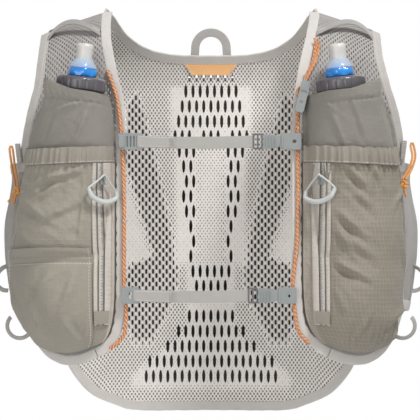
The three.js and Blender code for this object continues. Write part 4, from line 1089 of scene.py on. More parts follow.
# Folded tape on the neck, the front edges, the armholes and the hem.
def bindings():
    across = np.linspace(-0.668, 0.668, 90)
    folded_tape("neck_tape", "neck_binding", [run_of(back_spot, across, 0 * across, 0, 0.5)])
    halves = []
    for side, sign, _ in SIDES:
        spot, flank = front_spot(side), side_spot(side)
        down = np.linspace(0, 1, 120)
        corner = [run_of(spot, np.zeros(120), down, 0.5, 0.5),
                  run_of(spot, np.linspace(0.02, 0.1, 5), np.ones(5), 0.5, 0.5)]
        folded_tape(f"edge_tape_{side}", f"edge_binding_{side}", corner)
        upper = np.linspace(0, SIDE_FRONT[0], 60)
        back = np.linspace(SIDE_BACK[0], 0.004, 55)
        folded_tape(f"armhole_tape_{side}", f"armhole_binding_{side}", [
            run_of(spot, np.ones(60), upper, 0.5, 0.5),
            run_of(flank, np.linspace(0.1, 0.9, 14), np.zeros(14), 0.5, 0.5),
            run_of(back_spot, sign * np.ones(55), back, 0, 0.5)], ring=True)
        lower = np.linspace(0.99, SIDE_FRONT[1], 20)
        halves.append([
            run_of(spot, np.linspace(0.11, 0.99, 40), np.ones(40), 0.5, 0.5),
            run_of(spot, np.ones(20), lower, 0.5, 0.5),
            run_of(flank, np.linspace(0.1, 0.9, 14), np.ones(14), 0.5, 0.5),
            run_of(back_spot, sign * np.ones(30), np.linspace(SIDE_BACK[1], 0.99, 30), 0, 0.5)])
    across = np.linspace(-1, 1, 90)
    middle = run_of(back_spot, across, np.ones(90), 0, 0.5)
    mirrored = [(spot, u[::-1], v[::-1], iu[::-1], iv[::-1]) for spot, u, v, iu, iv in halves[1][::-1]]
    folded_tape("hem_tape", "hem_binding", [*halves[0], middle, *mirrored])


# Upper edges of the sleeves: places from the middle and their drops.
SLEEVE_TOPS = {
    "left": ([96, 107, 130, 144, 158, 168], [93.5, 88, 83.5, 81, 76.5, 73.5]),
    "right": ([92, 101, 107, 128, 160, 172], [91, 88.5, 86.5, 84, 79, 77.5]),
}
# How far the outer side of a sleeve stands in from the armhole: drops and insets.
SLEEVE_INSET = {"left": ([74, 90, 110, 135], [14, 9.5, 4, 0]), "right": ([74, 92, 106, 120], [9, 4.5, 1.5, 0])}
# Folds: first place and drop, last place and drop, height, half width.
SLEEVE_FOLDS = {
    "left": [(-112, 104, -128, 138, 1.6, 3.5), (-150, 92, -172, 128, 1.8, 4), (-160, 100, -181, 140, 1.2, 3),
             (-118, 98, -150, 108, 1.0, 3), (-140, 112, -152, 138, 1.0, 3.5)],
    "right": [(110, 104, 124, 138, 1.6, 3.5), (152, 88, 176, 126, 1.8, 4), (128, 96, 142, 132, 1.2, 3.5),
              (160, 98, 186, 138, 1.2, 3), (104, 96, 118, 110, 1.0, 3)],
}
POCKET_FOLDS = {
    "left": [(-158, 176, -128, 166, 3.0, 6), (-170, 202, -152, 213, 2.6, 6), (-152, 213, -128, 200, 2.6, 6),
             (-176, 176, -186, 214, 2.4, 6), (-118, 186, -124, 240, 2.0, 5), (-140, 180, -160, 196, 2.0, 5),
             (-186, 216, -196, 240, 1.6, 4)],
    "right": [(118, 206, 141, 229, 4.2, 5.5), (114, 221, 130, 243, 3.4, 5), (112, 253, 142, 270, 4.2, 5.5),
              (113, 277, 124, 300, 3.2, 5), (127, 160, 143, 184, 3.6, 5), (149, 157, 156, 180, 3.0, 4.5),
              (172, 202, 183, 184, 3.0, 5), (161, 349, 168, 334, 3.2, 4), (170, 345, 183, 326, 3.6, 4.5),
              (150, 350, 158, 336, 2.6, 4), (172, 312, 194, 300, 3.4, 7), (134, 186, 150, 206, 2.8, 6),
              (128, 232, 152, 252, 2.8, 7), (138, 330, 146, 310, 2.2, 5), (184, 240, 194, 268, 2.2, 6)],
}
STASH_FOLDS = [(-126, 262, -136, 300, 2.0, 6), (-150, 336, -168, 300, 2.4, 8), (-180, 320, -192, 284, 2.4, 6),
               (-128, 338, -138, 312, 1.6, 5), (-110, 300, -122, 336, 1.8, 5), (-146, 262, -160, 290, 1.6, 7)]



# Shares across a front and drops down it, with the share down at each of them.
def layer_grid(side, across, drops):
    u, d = np.meshgrid(across, drops)
    return u, d, layer_down(side, u, d)


# Upper pockets round the flasks, tucked in at their outer top corners.
def flask_sleeves():
    for side, sign, _ in SIDES:
        tops_x, tops = SLEEVE_TOPS[side]
        inset_d, inset = SLEEVE_INSET[side]
        share = np.linspace(0, 1, 88)[:, None]
        part = np.linspace(0, 1, 76)[None]
        edge = lerp(0.02, 0.97 - inset[0] / FRONT_CLOTH, part)
        reach = np.abs(front_spot(side)(edge, down_to(side, edge, -86.0))[..., 0])
        top = np.interp(reach, tops_x, tops)
        drops = lerp(top, SLEEVE_BOTTOM, share ** 1.25)
        u = lerp(0.02, 0.97 - np.interp(drops, inset_d, inset) / FRONT_CLOTH, part)
        v = layer_down(side, u, drops)
        place = front_spot(side)(u, v)
        x, z = place[..., 0], place[..., 2]
        below = drops - top
        hem = -1.1 * np.exp(-((below - 11) / 1.4) ** 2) + 0.5 * (1 - ramp(below, 9, 12))
        pucker = 0.35 * np.sin(x * 1.3 + 2 * np.sin(z * 0.2)) * np.exp(-((below - 11) / 7) ** 2)
        folds = fold_height(x, z, SLEEVE_FOLDS[side]) + 0.5 * ripple(x, z, 24, 11 + sign) * ramp(below, 6, 24)
        fade = ramp(u, 0.0, 0.1) * (1 - ramp(u, 0.9, 1)) * (1 - ramp(drops, 150, 175))
        lift = sleeve_lift(side, u, v) + (hem + pucker) * ramp(u, 0, 0.06) + folds * fade
        tucked = ramp(part, 0.7, 1.0) * (1 - ramp(drops, 95, 145))
        lift = lerp(lift, CLOTH_WALL + LAYER_GAP + 1.5, tucked)
        spot = front_spot(side)
        obj = layer(f"flask_sleeve_cloth_{side}", spot, u, v, lift)
        settle(obj, SLEEVE_CLOTH, [f"flask_sleeve_{side}"])


# Pleats that spread and fade below the elastic cuff.
def gathers(u, drops, seed):
    draw = np.random.default_rng(seed)
    total = np.zeros_like(u)
    edges = np.cumsum(draw.uniform(0.03, 0.075, 26))
    for place in edges[edges < 1]:
        high, half = draw.uniform(0.9, 2.0), draw.uniform(0.011, 0.02)
        reach, slant = draw.uniform(14, 44), draw.uniform(-0.05, 0.05)
        past = np.maximum(0, drops - POCKET_TOP - CUFF_HEIGHT)
        across = (u - place - slant * past / 30) / (half * (1 + past / 26))
        total += high * np.exp(-across ** 2) * np.exp(-(past / reach) ** 2)
    return total


def pocket_cuff(side):
    spot = front_spot(side)
    across = np.linspace(0.02, 0.97, 110)
    u, drops, v = layer_grid(side, across, np.linspace(POCKET_TOP, POCKET_TOP + CUFF_HEIGHT - GAP, 14))
    down = (drops - POCKET_TOP) / CUFF_HEIGHT
    drops = drops - (1 - down) * CUFF_SCALLOP[side] * np.abs(np.sin(30 * u + 2.4 * np.sin(9 * u)))
    v = layer_down(side, u, drops)
    lift = pocket_lift(side, u, v) + 1.7 * GATHER[side] * gathers(u, drops, CUFF_SEED) * (0.45 + 0.55 * down)
    lift = lift + 0.5 * np.sin(math.pi * np.clip(down, 0, 1))
    obj = layer(f"pocket_cuff_cloth_{side}", spot, u, v, lift, 2 * SKIN_WALL)
    settle(obj, CUFF, [f"pocket_cuff_{side}"])
    stitch_cloth(spot, u[-2], v[-2], lift[-2] + SKIN_WALL, 3.0)


# The bulging cloth below the cuff: folds, pleats at cuff and hem, and a pale strip beside the zip.
def pocket_cloth(side, sign, zip_share):
    spot = front_spot(side)
    across, rows = np.linspace(0.02, 0.97, 120), np.linspace(POCKET_TOP + CUFF_HEIGHT, FRONT_LENGTH, 130)
    u, drops, v = layer_grid(side, across, rows)
    place = spot(u, v)
    x, z = place[..., 0], place[..., 2]
    zip_edge = zip_share + 0.15
    cloth = ramp(u, zip_edge - 0.02, zip_edge + 0.1) * (1 - ramp(u, 0.93, 1.0)) * (1 - ramp(drops, 325, 350))
    if side == "left":
        cloth = cloth * (1 - 0.75 * ramp(drops, STASH_TOP - 14, STASH_TOP + 4))
    folds = fold_height(x, z, POCKET_FOLDS[side]) + 1.5 * ripple(x + 0.3 * z, z, 52, 3 + sign, 7)
    from_hem = FRONT_LENGTH - HEM_PLEAT_START - drops
    hem_pull = HEM_GATHER[side] * gathers(u, from_hem + POCKET_TOP + CUFF_HEIGHT, HEM_SEED)
    base = evened(lifted(spot, u, v, pocket_lift(side, u, v)), 9)
    out = normal_at(spot, u, v)
    lift = folds * cloth + GATHER[side] * gathers(u, drops, CUFF_SEED) * ramp(u, 0.02, 0.06)
    lift = lift + hem_pull * ramp(drops, 300, 340) * (1 - ramp(drops, 340, 350)) * cloth
    pale = 1 - ramp(u, zip_share - 0.004, zip_share + 0.012)
    strip = 0.9 * ripple(x, 0.6 * z, 16, 8 + sign) * pale * ramp(u, 0.02, 0.04)
    low = base + out * (lift + strip)[..., None]
    obj = grid_sheet(f"zip_pocket_cloth_{side}", low, low + out * SKIN_WALL, {"pale": STRIP_PALE[side] * pale})
    settle(obj, SMOOTH if side == "left" else POCKET, [f"zip_pocket_{side}"])
    row, facing = low[::2, -6] + out[::2, -6] * SKIN_WALL, out[::2, -6]
    under_cuff = row[:, 2] < -SEAM_TOP
    stitch_along(row[under_cuff], facing[under_cuff], 2.6)


# A dark sheet in the gap between pocket and front edge, scalloped by its stitches: a painted shadow of the gap.
def pocket_gap_shade(side):
    part, drops = np.meshgrid(np.linspace(0, 1, 7), np.linspace(POCKET_TOP + CUFF_HEIGHT, 338, 240))
    inner = 0.001 + 0.01 * np.abs(np.sin(drops / 4.2 + np.sin(drops / 13)))
    u = lerp(inner, 0.034, part)
    low = CLOTH_WALL / 2 + TAPE_THICK / 2 + 0.5 + 0.8 * part
    seam = layer(f"pocket_seam_{side}", front_spot(side), u, layer_down(side, u, drops), low, 0.4)
    settle(seam, GAP_SHADE_CLOTH)


def zip_pockets():
    for side, sign, zip_share in SIDES:
        pocket_cuff(side)
        pocket_cloth(side, sign, zip_share)
        pocket_gap_shade(side)


# The flat pocket on the lower left, with its hem and stitched edges.
def stash_pocket():
    side = "left"
    spot = front_spot(side)
    across = np.linspace(0.19, 0.97, 90)
    u, share = np.meshgrid(across, np.linspace(0, 1, 84))
    top = STASH_TOP + 4 * (1 - np.sin(math.pi * 0.9 * (1 - u)))
    drops = lerp(top, FRONT_LENGTH, share)
    v = layer_down(side, u, drops)
    place = spot(u, v)
    x, z = place[..., 0], place[..., 2]
    below = drops - top
    hem = -1.0 * np.exp(-((below - 14) / 1.5) ** 2) + 0.9 * (1 - ramp(below, 10, 14))
    fade = ramp(u, 0.19, 0.28) * (1 - ramp(u, 0.92, 0.97)) * (1 - ramp(drops, 325, 350)) * ramp(below, 10, 30)
    folds = fold_height(x, z, STASH_FOLDS) + 1.2 * ripple(x, z, 52, 21, 7)
    lift = pocket_lift(side, u, v) + SKIN_WALL + GAP + 0.8 + hem + folds * fade
    obj = layer("stash_pocket_cloth", spot, u, v, lift)
    settle(obj, SMOOTH, ["stash_pocket_left"])
    for edge in (-3, -6, 2):
        stitch_cloth(spot, u[::2, edge], v[::2, edge], lift[::2, edge])
    row = int(np.argmin(np.abs(below[:, 40] - 15)))
    stitch_cloth(spot, u[row], v[row], lift[row])


# A turned piece from its profile; ripple_of varies the radius and rise_of the height round it.
def turned_mesh(name, profile, corners, matrix, ripple_of=None, rise_of=None, angle=40):
    turns = np.linspace(0, 2 * math.pi, corners, endpoint=False)
    points, faces = [], []
    for radius, height in profile:
        for turn in turns:
            r = radius * (1 + (ripple_of(turn, radius, height) if ripple_of else 0))
            rise = rise_of(turn, height) if rise_of else 0
            points.append((r * math.cos(turn), r * math.sin(turn), height + rise))
    for row in range(len(profile) - 1):
        for c in range(corners):
            n = (c + 1) % corners
            faces.append((row * corners + c, row * corners + n, (row + 1) * corners + n, (row + 1) * corners + c))
    faces.append(tuple(range(corners))[::-1])
    faces.append(tuple((len(profile) - 1) * corners + c for c in range(corners)))
    points = np.array(points)
    place = np.array(matrix.to_3x3()) @ points.T
    points = place.T + np.array(matrix.translation)
    uv = np.stack([np.tile(turns, len(profile)) * 10, np.repeat([h for _, h in profile], corners)], -1)
    return make_object(name, points, faces, uv, None, angle)


# Where a flask stands: its cap's foot, tilted outwards and turned to the cloth behind it.
def flask_matrix(sign):
    at = np.array(-CAP_DROP)
    seat = float(depth(np.array(FLASK_REACH), at)) + CLOTH_WALL + 2 * GAP + CAP_RADIUS
    slope = float(depth(np.array(FLASK_REACH - 10), at) - depth(np.array(FLASK_REACH + 10), at)) / 20
    return (Matrix.Translation((sign * FLASK_REACH, -seat, -CAP_DROP)) @ Matrix.Rotation(-sign * FLASK_TILT, 4, "Y")
            @ Matrix.Rotation(sign * math.atan(slope), 4, "Z"))


def flask_cap(side, matrix):
    def ribs(turn, radius, height):
        edge = 1 if 2 < height < CAP_HEIGHT - 2.5 and radius > 0.9 * CAP_RADIUS else 0
        return -0.03 * edge * max(0, math.cos(18 * turn)) ** 6

    shares = [(0.8, 0), (0.9, 0.5), (0.985, 2.2), (1, 3.4), (1, 8), (1, 11.4), (0.985, 12.8), (0.93, 14.4),
              (0.8, CAP_HEIGHT), (0.62, CAP_HEIGHT)]
    cap = [(0.01, 0), *((share * CAP_RADIUS, height) for share, height in shares), (0.01, CAP_HEIGHT)]
    settle(turned_mesh(f"cap_{side}", cap, 144, matrix, ribs), CAP, [f"flask_cap_{side}"])


# The blue lock, with six scallops and a wavy shoulder.
def valve_lock(side, sign, matrix):
    def scallop(turn, radius, height):
        return 0.05 * math.cos(6 * turn) * (1 if LOCK_BASE + 0.8 < height < LOCK_BASE + 8 and radius > 10 else 0)

    def wave(turn, height):
        return 2.2 * float(ramp(height, LOCK_BASE + 3, LOCK_BASE + 7)) * math.cos(turn + math.pi / 2 + sign * 0.5)

    collar = [(radius, LOCK_BASE + height) for radius, height in (
        (0.01, 0), (13.2, 0), (14.2, 0.8), (14.6, 3.2), (14.2, 5.4), (13, 7.2), (10.6, 9.6), (9.4, 10.9), (0.01, 11))]
    settle(turned_mesh(f"lock_{side}", collar, 72, matrix, scallop, wave), LOCK,
           [f"valve_lock_{side}"], f"valve_{side}")


# The bite valve, with its clear skirt and flattened lips.
def bite_valve(side, matrix):
    top = VALVE_ROOT + 22

    def lip(turn, _, height):
        return -0.08 * abs(math.sin(turn)) * float(ramp(height, VALVE_ROOT + 9, top))

    skirt = [(radius, VALVE_ROOT + height) for radius, height in (
        (9.2, -2.6), (12.6, -4.2), (14.4, -2.4), (14.2, -0.6), (12, 2.4), (10, 5), (9.2, 6.4), (9.25, 2))]
    settle(turned_mesh(f"skirt_{side}", skirt, 60, matrix), SKIRT, body=f"valve_{side}")
    valve = [(radius, VALVE_ROOT + height) for radius, height in (
        (0.01, 0), (9, 0), (9.1, 4), (8.6, 8), (8.5, 14), (8.9, 17), (9, 19))]
    valve += [(8.5, top - 1.2), (7.4, top - 0.3), (5.5, top), (0.01, top - 0.4)]
    settle(turned_mesh(f"valve_{side}_bite", valve, 60, matrix, lip), VALVE,
           [f"bite_valve_{side}"], f"valve_{side}")


# The limp bottle: place down it, share of its width and of its thickness.
def flask_body(side, matrix):
    rows = [(0, 0.75, 0.92), (0.03, 0.86, 0.93), (0.12, 0.95, 0.9), (0.35, 1, 0.62), (0.6, 1, 0.44),
            (0.8, 0.98, 0.32), (0.93, 0.86, 0.2), (1, 0.7, 0.08)]
    turned = np.array(matrix.to_3x3())
    turns = np.linspace(0, 2 * math.pi, 32, endpoint=False)
    places, sections = [], []
    for at, across, deep in rows:
        centre = np.array([0, CAP_RADIUS - FLASK_DEEP * deep - GAP, -GAP - at * FLASK_LENGTH])
        places.append(turned @ centre + np.array(matrix.translation))
        sections.append(np.stack([CAP_RADIUS * across * np.cos(turns), FLASK_DEEP * deep * np.sin(turns)], -1))
    outs, ups = np.tile(turned[:, 0], (len(rows), 1)), np.tile(turned[:, 1], (len(rows), 1))
    body = sweep(f"flask_body_{side}", places, outs, ups, np.array(sections), angle=60)
    settle(body, FILM, [f"flask_{side}"])


def flasks():
    for side, sign, _ in SIDES:
        matrix = flask_matrix(sign)
        flask_cap(side, matrix)
        valve_lock(side, sign, matrix)
        bite_valve(side, matrix)
        flask_body(side, matrix)


def zip_lift(side, u, v):
    return pocket_lift(side, u, v) + SKIN_WALL + GAP


def zip_face(side, u, drop, lift):
    spot = front_spot(side)

    def face(a, d):
        v = layer_down(side, np.asarray(a, float), np.asarray(d, float))
        return lifted(spot, np.asarray(a, float), v, zip_lift(side, a, v) + ZIP_THICK)
    sign = -1 if side == "left" else 1
    along = unit((face(u + 0.05, drop) - face(u - 0.05, drop)) * sign)
    below = unit(face(u, drop + 5) - face(u, drop - 5))
    out = unit(np.cross(below, along))
    return face(u, drop) + out * np.asarray(lift)[..., None], along, out, -below


# Zip tape with its flap and grooves, teeth, stitches, slider and folded end.
def zips():
    for side, _, share in SIDES:
        middle = share + 0.065
        rows = np.linspace(POCKET_TOP + CUFF_HEIGHT, ZIP_BOTTOM, 90)
        across = np.linspace(share, share + 0.13, 53)
        u, _, v = layer_grid(side, across, rows)
        away = (u - middle) / 0.065
        groove = np.exp(-((away - 0.5) / 0.09) ** 4) + np.exp(-((away + 0.16) / 0.09) ** 4)
        flap = ramp(-away, 0.2, 0.34)
        gully = -1.1 * groove + 0.9 * flap * np.sin(math.pi * np.clip((-away - 0.2) / 0.8, 0, 1)) ** 0.5
        lift = zip_lift(side, u, v) + gully
        spot = front_spot(side)
        # The groove profile both sinks the tape and, as the mark "groove", paints shade into it.
        obj = grid_sheet(f"zip_tape_{side}", lifted(spot, u, v, zip_lift(side, u, v) - 0.2),
                         lifted(spot, u, v, lift + ZIP_THICK), {"groove": 0.9 * groove})
        settle(obj, ZIP_TAPE, [f"zip_{side}"])
        drops = np.arange(POCKET_TOP + CUFF_HEIGHT + 3, ZIP_BOTTOM - 2, 1.5)
        place, along, out, up = zip_face(side, np.full_like(drops, middle), drops, np.full_like(drops, -0.2))
        shift = np.where(np.arange(len(drops)) % 2 == 0, 0.55, -0.55)[:, None]
        set_pieces(f"zip_teeth_{side}", place + along * shift, up, out, TOOTH, PLASTIC)
        for edge in (0.012, 0.118):
            vs = layer_down(side, np.full_like(rows, share + edge), rows)
            us = np.full_like(rows, share + edge)
            stitch_along(lifted(spot, us, vs, zip_lift(side, us, vs) + ZIP_THICK + 0.1), normal_at(spot, us, vs), 3.4)
        slider_and_pull(side, middle)
        u, _, v = layer_grid(side, np.linspace(share + 0.005, share + 0.125, 16),
                             np.linspace(ZIP_BOTTOM - 14, ZIP_BOTTOM - 1, 16))
        puff = zip_lift(side, u, v) + ZIP_THICK + 1.0 + 0.5 * np.sin(math.pi * (u - share) / 0.13)
        settle(layer(f"zip_end_{side}", spot, u, v, puff - 0.7, 0.7), CUFF)


def slider_and_pull(side, middle):
    drop, seat, thick = 175.0, 1.1, 3.0
    place, along, out, up = (np.asarray(a) for a in zip_face(side, middle, drop, seat + thick / 2))
    outline = [(-2.2, 4.6), (2.2, 4.6), (3.5, 2.2), (2.6, -1.4), (3.1, -4.5), (-3.1, -4.5), (-2.6, -1.4), (-3.5, 2.2)]
    slider = plate("slider", outline, [], thick, 0.5, place, along, up, out)
    bridge = smooth_path([place + up * 3.2 + out * 1.2, place + up * 2.2 + out * 3.2, place - up * 1.2 + out * 3.0,
                          place - up * 2.6 + out * 1.0], 12)
    arch = tube("arch", bridge, 0.8, 8, along)
    settle(join(f"zip_slider_body_{side}", [slider, arch]), PLASTIC, [f"zip_slider_{side}"])
    lift = seat + thick + 0.2 + 2.6

    def stop(across, down):
        return np.asarray(zip_face(side, middle + across, drop + down, lift)[0])
    grip = smooth_path([stop(a, d) for a, d in ((-0.12, 11), (-0.09, 18), (0.0, 22), (0.075, 17), (0.105, 8))], 28)
    radius = 2.6 * (1 - 0.35 * np.abs(np.linspace(-1, 1, 28)) ** 6)
    outs, ups = path_frames(grip, out)
    body = sweep("grip", grip, outs, ups, circle_section(1, 14)[None] * radius[:, None, None], angle=60)
    apex = stop(0, -7)
    strands = []
    for end, bow in ((grip[0], -1), (grip[-1], 1)):
        middle_point = (apex + end) / 2 + along * bow * 0.8
        strands.append(tube("strand", smooth_path([apex, middle_point, end], 12), 1.0, 8))
    whole = join(f"zip_pull_loop_{side}", [body, *strands])
    settle(whole, PALE_PLASTIC, [f"zip_pull_{side}"])


# Flat hard piece with holes and rounded edges.
def plate(name, outline, holes, thick, bevel, place, along, up, out, spacing=3.0):
    holes = [np.array(hole, float) for hole in holes]
    flat, faces = cut_faces(np.array(outline, float), holes, spacing)
    base = place + flat[:, :1] * along + flat[:, 1:2] * up
    obj = thick_mesh(name, base - out * thick / 2, base + out * thick / 2, faces, flat)
    rounded = obj.modifiers.new("edge", "BEVEL")
    rounded.width, rounded.segments, rounded.limit_method = bevel * 0.001, 3, "ANGLE"
    rounded.angle_limit = math.radians(40)
    bpy.context.view_layer.update()
    data = bpy.data.meshes.new_from_object(obj.evaluated_get(bpy.context.evaluated_depsgraph_get()))
    obj.modifiers.clear()
    obj.data = data
    data.shade_smooth()
    data.set_sharp_from_angle(angle=math.radians(30))
    return obj


def rectangle(x0, x1, y0, y1, corner=1.2, parts=3):
    points = []
    for cx, cy, start in ((x1 - corner, y1 - corner, 0), (x0 + corner, y1 - corner, 90),
                          (x0 + corner, y0 + corner, 180), (x1 - corner, y0 + corner, 270)):
        for step in range(parts + 1):
            turn = math.radians(start + 90 * step / parts)
            points.append((cx + corner * math.cos(turn), cy + corner * math.sin(turn)))
    return points


# Routes of the rail cords: share of the half width, share of the front length.
RAIL_ROUTE = {
    "left": [(0.486, 0.186), (0.458, 0.229), (0.439, 0.271), (0.421, 0.357), (0.407, 0.529), (0.407, 0.686),
             (0.407, 0.809), (0.397, 0.886), (0.411, 0.951), (0.472, 0.986)],
    "right": [(0.495, 0.114), (0.481, 0.16), (0.449, 0.2), (0.421, 0.246), (0.407, 0.3), (0.407, 0.543),
              (0.402, 0.686), (0.383, 0.8), (0.393, 0.886), (0.411, 0.937), (0.458, 0.971)],
}


# The tied top of the right rail cord: a second strand, a knot and frayed ends.
def tied_top(path):
    beside = path[:20] + np.linspace((3.4, -0.8, 1.5), (0.8, -0.6, 0), 20)
    strand = tube("strand", beside, 0.75 * RAIL_RADIUS, 10)
    frayed = []
    for aside in (-1.2, 0.2, 1.5):
        end = smooth_path([path[0], path[0] + (aside, -0.5, 3.5), path[0] + (1.8 * aside, 0, 7)], 6)
        frayed.append(tube("end", end, 0.8, 6))
    knot = trefoil(path[19] + (0, -1.56, 0), (1.3, 1.56, 1.69), 1.5)
    settle(join("rail_cord_knot", [strand, knot, *frayed]), RAIL)


# Small webbing loops that hold a rail cord to the front edge.
def cord_loops(side, path):
    loops = []
    for drop in RAIL_LOOP_DROPS:
        near = int(np.argmin(np.abs(path[:, 2] + drop)))
        centre = path[near]
        _, normal = front_point(centre[0], centre[2], 0)
        along = unit(path[min(near + 1, len(path) - 1)] - path[near - 1])
        aside = unit(np.cross(normal, along))
        turns = np.linspace(0, math.pi, 9)
        arch = [centre + aside * 2.9 * math.cos(t) + normal * (2.9 * math.sin(t) - 1.2) for t in turns]
        outs, ups = np.tile(along, (9, 1)), unit(np.array(arch) - centre + normal * 1.2)
        loops.append(sweep("loop", arch, outs, ups, flat_section(1.8, 0.5, -0.9, 0, 0.5, 2)))
    settle(join(f"rail_loops_{side}", loops), WEB)


def rail_cords():
    lift = CLOTH_WALL / 2 + TAPE_THICK / 2 + GAP + RAIL_RADIUS
    for side, sign, _ in SIDES:
        points = [front_point(sign * x * HALF_WIDTH, -d * FRONT_LENGTH, lift)[0] for x, d in RAIL_ROUTE[side]]
        path = smooth_path(points, 110)
        settle(tube(f"rail_cord_line_{side}", path, RAIL_RADIUS, 12), RAIL, [f"rail_cord_{side}"])
        if side == "right":
            tied_top(path)
        cord_loops(side, path)


# Arched webbing across each shoulder.
def shoulder_bands():
    for side, _, _ in SIDES:
        spot = front_spot(side)
        share = np.linspace(0, 1, 48)
        u = lerp(0.03, 0.97, share)
        down = 0.03 + 0.045 * (1 - 1.35 * share) ** 2
        lift = CLOTH_WALL + GAP + 9 * np.sin(math.pi * share) ** 0.8 + WEB_THICK / 2
        path = lifted(spot, u, down, lift)
        across = unit(spot(u, down + 0.01) - spot(u, down - 0.01))
        up = unit(np.cross(np.gradient(path, axis=0), across))
        up = np.where(up[:, 2:3] < 0, -up, up)
        obj = sweep(f"shoulder_arch_{side}", path, across, up, flat_section(9.6, WEB_THICK, -4.8, 0.1, 0.4, 5))
        settle(obj, WEB, [f"shoulder_band_{side}"])
        stitch_along(path[1:6] + up[1:6] * 0.9, up[1:6], 1.6)
        stitch_along(path[-6:-1] + up[-6:-1] * 0.9, up[-6:-1], 1.6)


# Webbing loop behind the neck, with bar stitches on its feet.
def hang_loop():
    reach, crown, foot = 17.0, 12.0, 60.0
    y = float(depth(np.array(0.0), np.array(-foot))) + CLOTH_WALL + GAP + WEB_THICK / 2
    turns = np.linspace(0, math.pi, 40)
    legs = np.linspace(0, 1, 12)[:-1]
    right = [(reach + 4.5 * (1 - s) ** 1.5, y, lerp(-foot, -crown - reach, s)) for s in legs]
    arc = [(reach * math.cos(t), y, -crown - reach + reach * math.sin(t)) for t in turns]
    left = [(-reach - 4.5 * s ** 1.5, y, lerp(-crown - reach, -foot, s)) for s in np.linspace(0, 1, 12)[1:]]
    path = np.array(right + arc + left)
    along = unit(np.gradient(path, axis=0))
    up = np.tile([0.0, 1.0, 0.0], (len(path), 1))
    obj = sweep("hang_loop_web", path, unit(np.cross(along, up)), up, flat_section(9, WEB_THICK, -4.5, 0.1, 0.4, 6))
    settle(obj, WEB, ["hang_loop"])
    for sign in (-1, 1):
        for shift in (-3, 0, 3):
            row = np.array([(sign * (reach + 3) + end, y, -foot + 5 + shift) for end in (-4, 4)])
            stitch_along(row + (0, 0.95, 0), np.array([[0, 1, 0], [0, 1, 0]], float), 1.9, 0.1)
            stitch_along(row - (0, 0.95, 0), np.array([[0, -1, 0], [0, -1, 0]], float), 1.9, 0.1)


def neck_label():
    u, v = np.meshgrid(np.linspace(-0.17, 0.17, 36), np.linspace(0, 1, 10))
    place = (u * lerp(1, 0.72, v), lerp(0.003, 0.033, v))
    wave = 0.25 * np.sin(u * 60) * v
    low = lifted(back_spot, *place, -GAP - 1.0 - wave)
    high = lifted(back_spot, *place, -GAP - 0.2 - wave)
    settle(grid_sheet("neck_label_cloth", low, high), LABEL, ["neck_label"])


# Whistle on the right rail cord.
def whistle():
    lift = CLOTH_WALL / 2 + TAPE_THICK / 2 + 2 * RAIL_RADIUS + 3 + 3.8
    place, _ = front_point(FLASK_REACH - CAP_RADIUS - 1.7 * WHISTLE_WIDTH, -0.26 * FRONT_LENGTH, lift)
    turn = math.radians(14)
    along = np.array([math.cos(turn), 0, -math.sin(turn)])
    up = np.array([math.sin(turn), 0, math.cos(turn)])
    out = np.array([0.0, -1.0, 0.0])
    outline = rectangle(-WHISTLE_WIDTH / 2, WHISTLE_WIDTH / 2, -16.4, 16.4, 2.6, 4)
    hole = rectangle(-1.5, 1.5, -7.5, -4.5, 1.4, 2)
    slot = rectangle(-3.0, 3.0, 3.0, 6.0, 1.2, 2)
    body = plate("body", outline, [hole, slot], 6, 0.9, place, along, up, out)
    groove = plate("core", rectangle(-3.4, 3.4, -12, 10, 1.4, 2), [], 4.4, 0.3, place, along, up, out)
    settle(join("whistle_body", [body, groove]), PLASTIC, ["whistle"])


# Chest straps: name, drop, and the edges of hook, web, slider, buckle, clip and end as shares of the half width.
STRAPS = [("upper", 136.0, (-0.439, -0.318, 0.196, 0.243, 0.327, 0.425)),
          ("lower", 291.0, (-0.421, -0.336, 0.173, 0.22, 0.313, 0.402))]
X_AXIS, Z_AXIS, FACING = np.array([1.0, 0, 0]), np.array([0.0, 0, 1]), np.array([0.0, -1, 0])


# A flat hard piece of a chest strap; line is the y and the drop that its pieces lie along.
def strap_part(label, outline, holes, thick, middle, line, bevel=0.7, lift=0.0):
    place = np.array([middle, line[0] - lift, -line[1]])
    return plate(label, outline, holes, thick, bevel, place, X_AXIS, Z_AXIS, FACING)


# The web sags a little, and its free end is folded back and sewn down.
def strap_web(name, line, start, end):
    y, drop = line
    count = 90
    x = np.linspace(start - 7, end + 2, count)
    share = (x - x[0]) / (x[-1] - x[0])
    sag = 1.4 * np.sin(math.pi * share)
    path = np.stack([x, np.full(count, y) + 0.5 * np.sin(math.pi * share * 2), -drop - sag], -1)
    band = sweep(f"chest_web_band_{name}", path, np.tile(Z_AXIS, (count, 1)), np.tile(FACING, (count, 1)),
                 flat_section(12, WEB_THICK, -6, 0.1, 0.4, 8))
    flap_x = np.linspace(start - 6, WEB_FOLD, 40)
    flap = np.stack([flap_x, np.interp(flap_x, x, path[:, 1]) - WEB_THICK - 0.1,
                     np.interp(flap_x, x, path[:, 2])], -1)
    second = sweep("flap", flap, np.tile(Z_AXIS, (40, 1)), np.tile(FACING, (40, 1)),
                   flat_section(11.6, 1.2, -5.8, 0.1, 0.4, 6))
    settle(join(f"chest_web_pair_{name}", [band, second]), WEB, [f"chest_web_{name}"])
    for offset in (0.0, 2.6):
        row = np.stack([np.full(2, WEB_FOLD - 2 - offset), np.full(2, flap[0, 1] - 0.8),
                        -drop + np.array([-5.0, 5.0]) - 1.2], -1)
        # Each bar is laid twice in one place.
        for _ in range(2):
            stitch_along(row, np.tile(FACING, (2, 1)), 1.6, 0.05)
        stitch_along(np.stack([flap_x, flap[:, 1] - 0.72, flap[:, 2] + 4.6 - 9.2 * (offset > 0)], -1)[2:-2],
                     np.tile(FACING, (36, 1)), 2.6, 0.05)


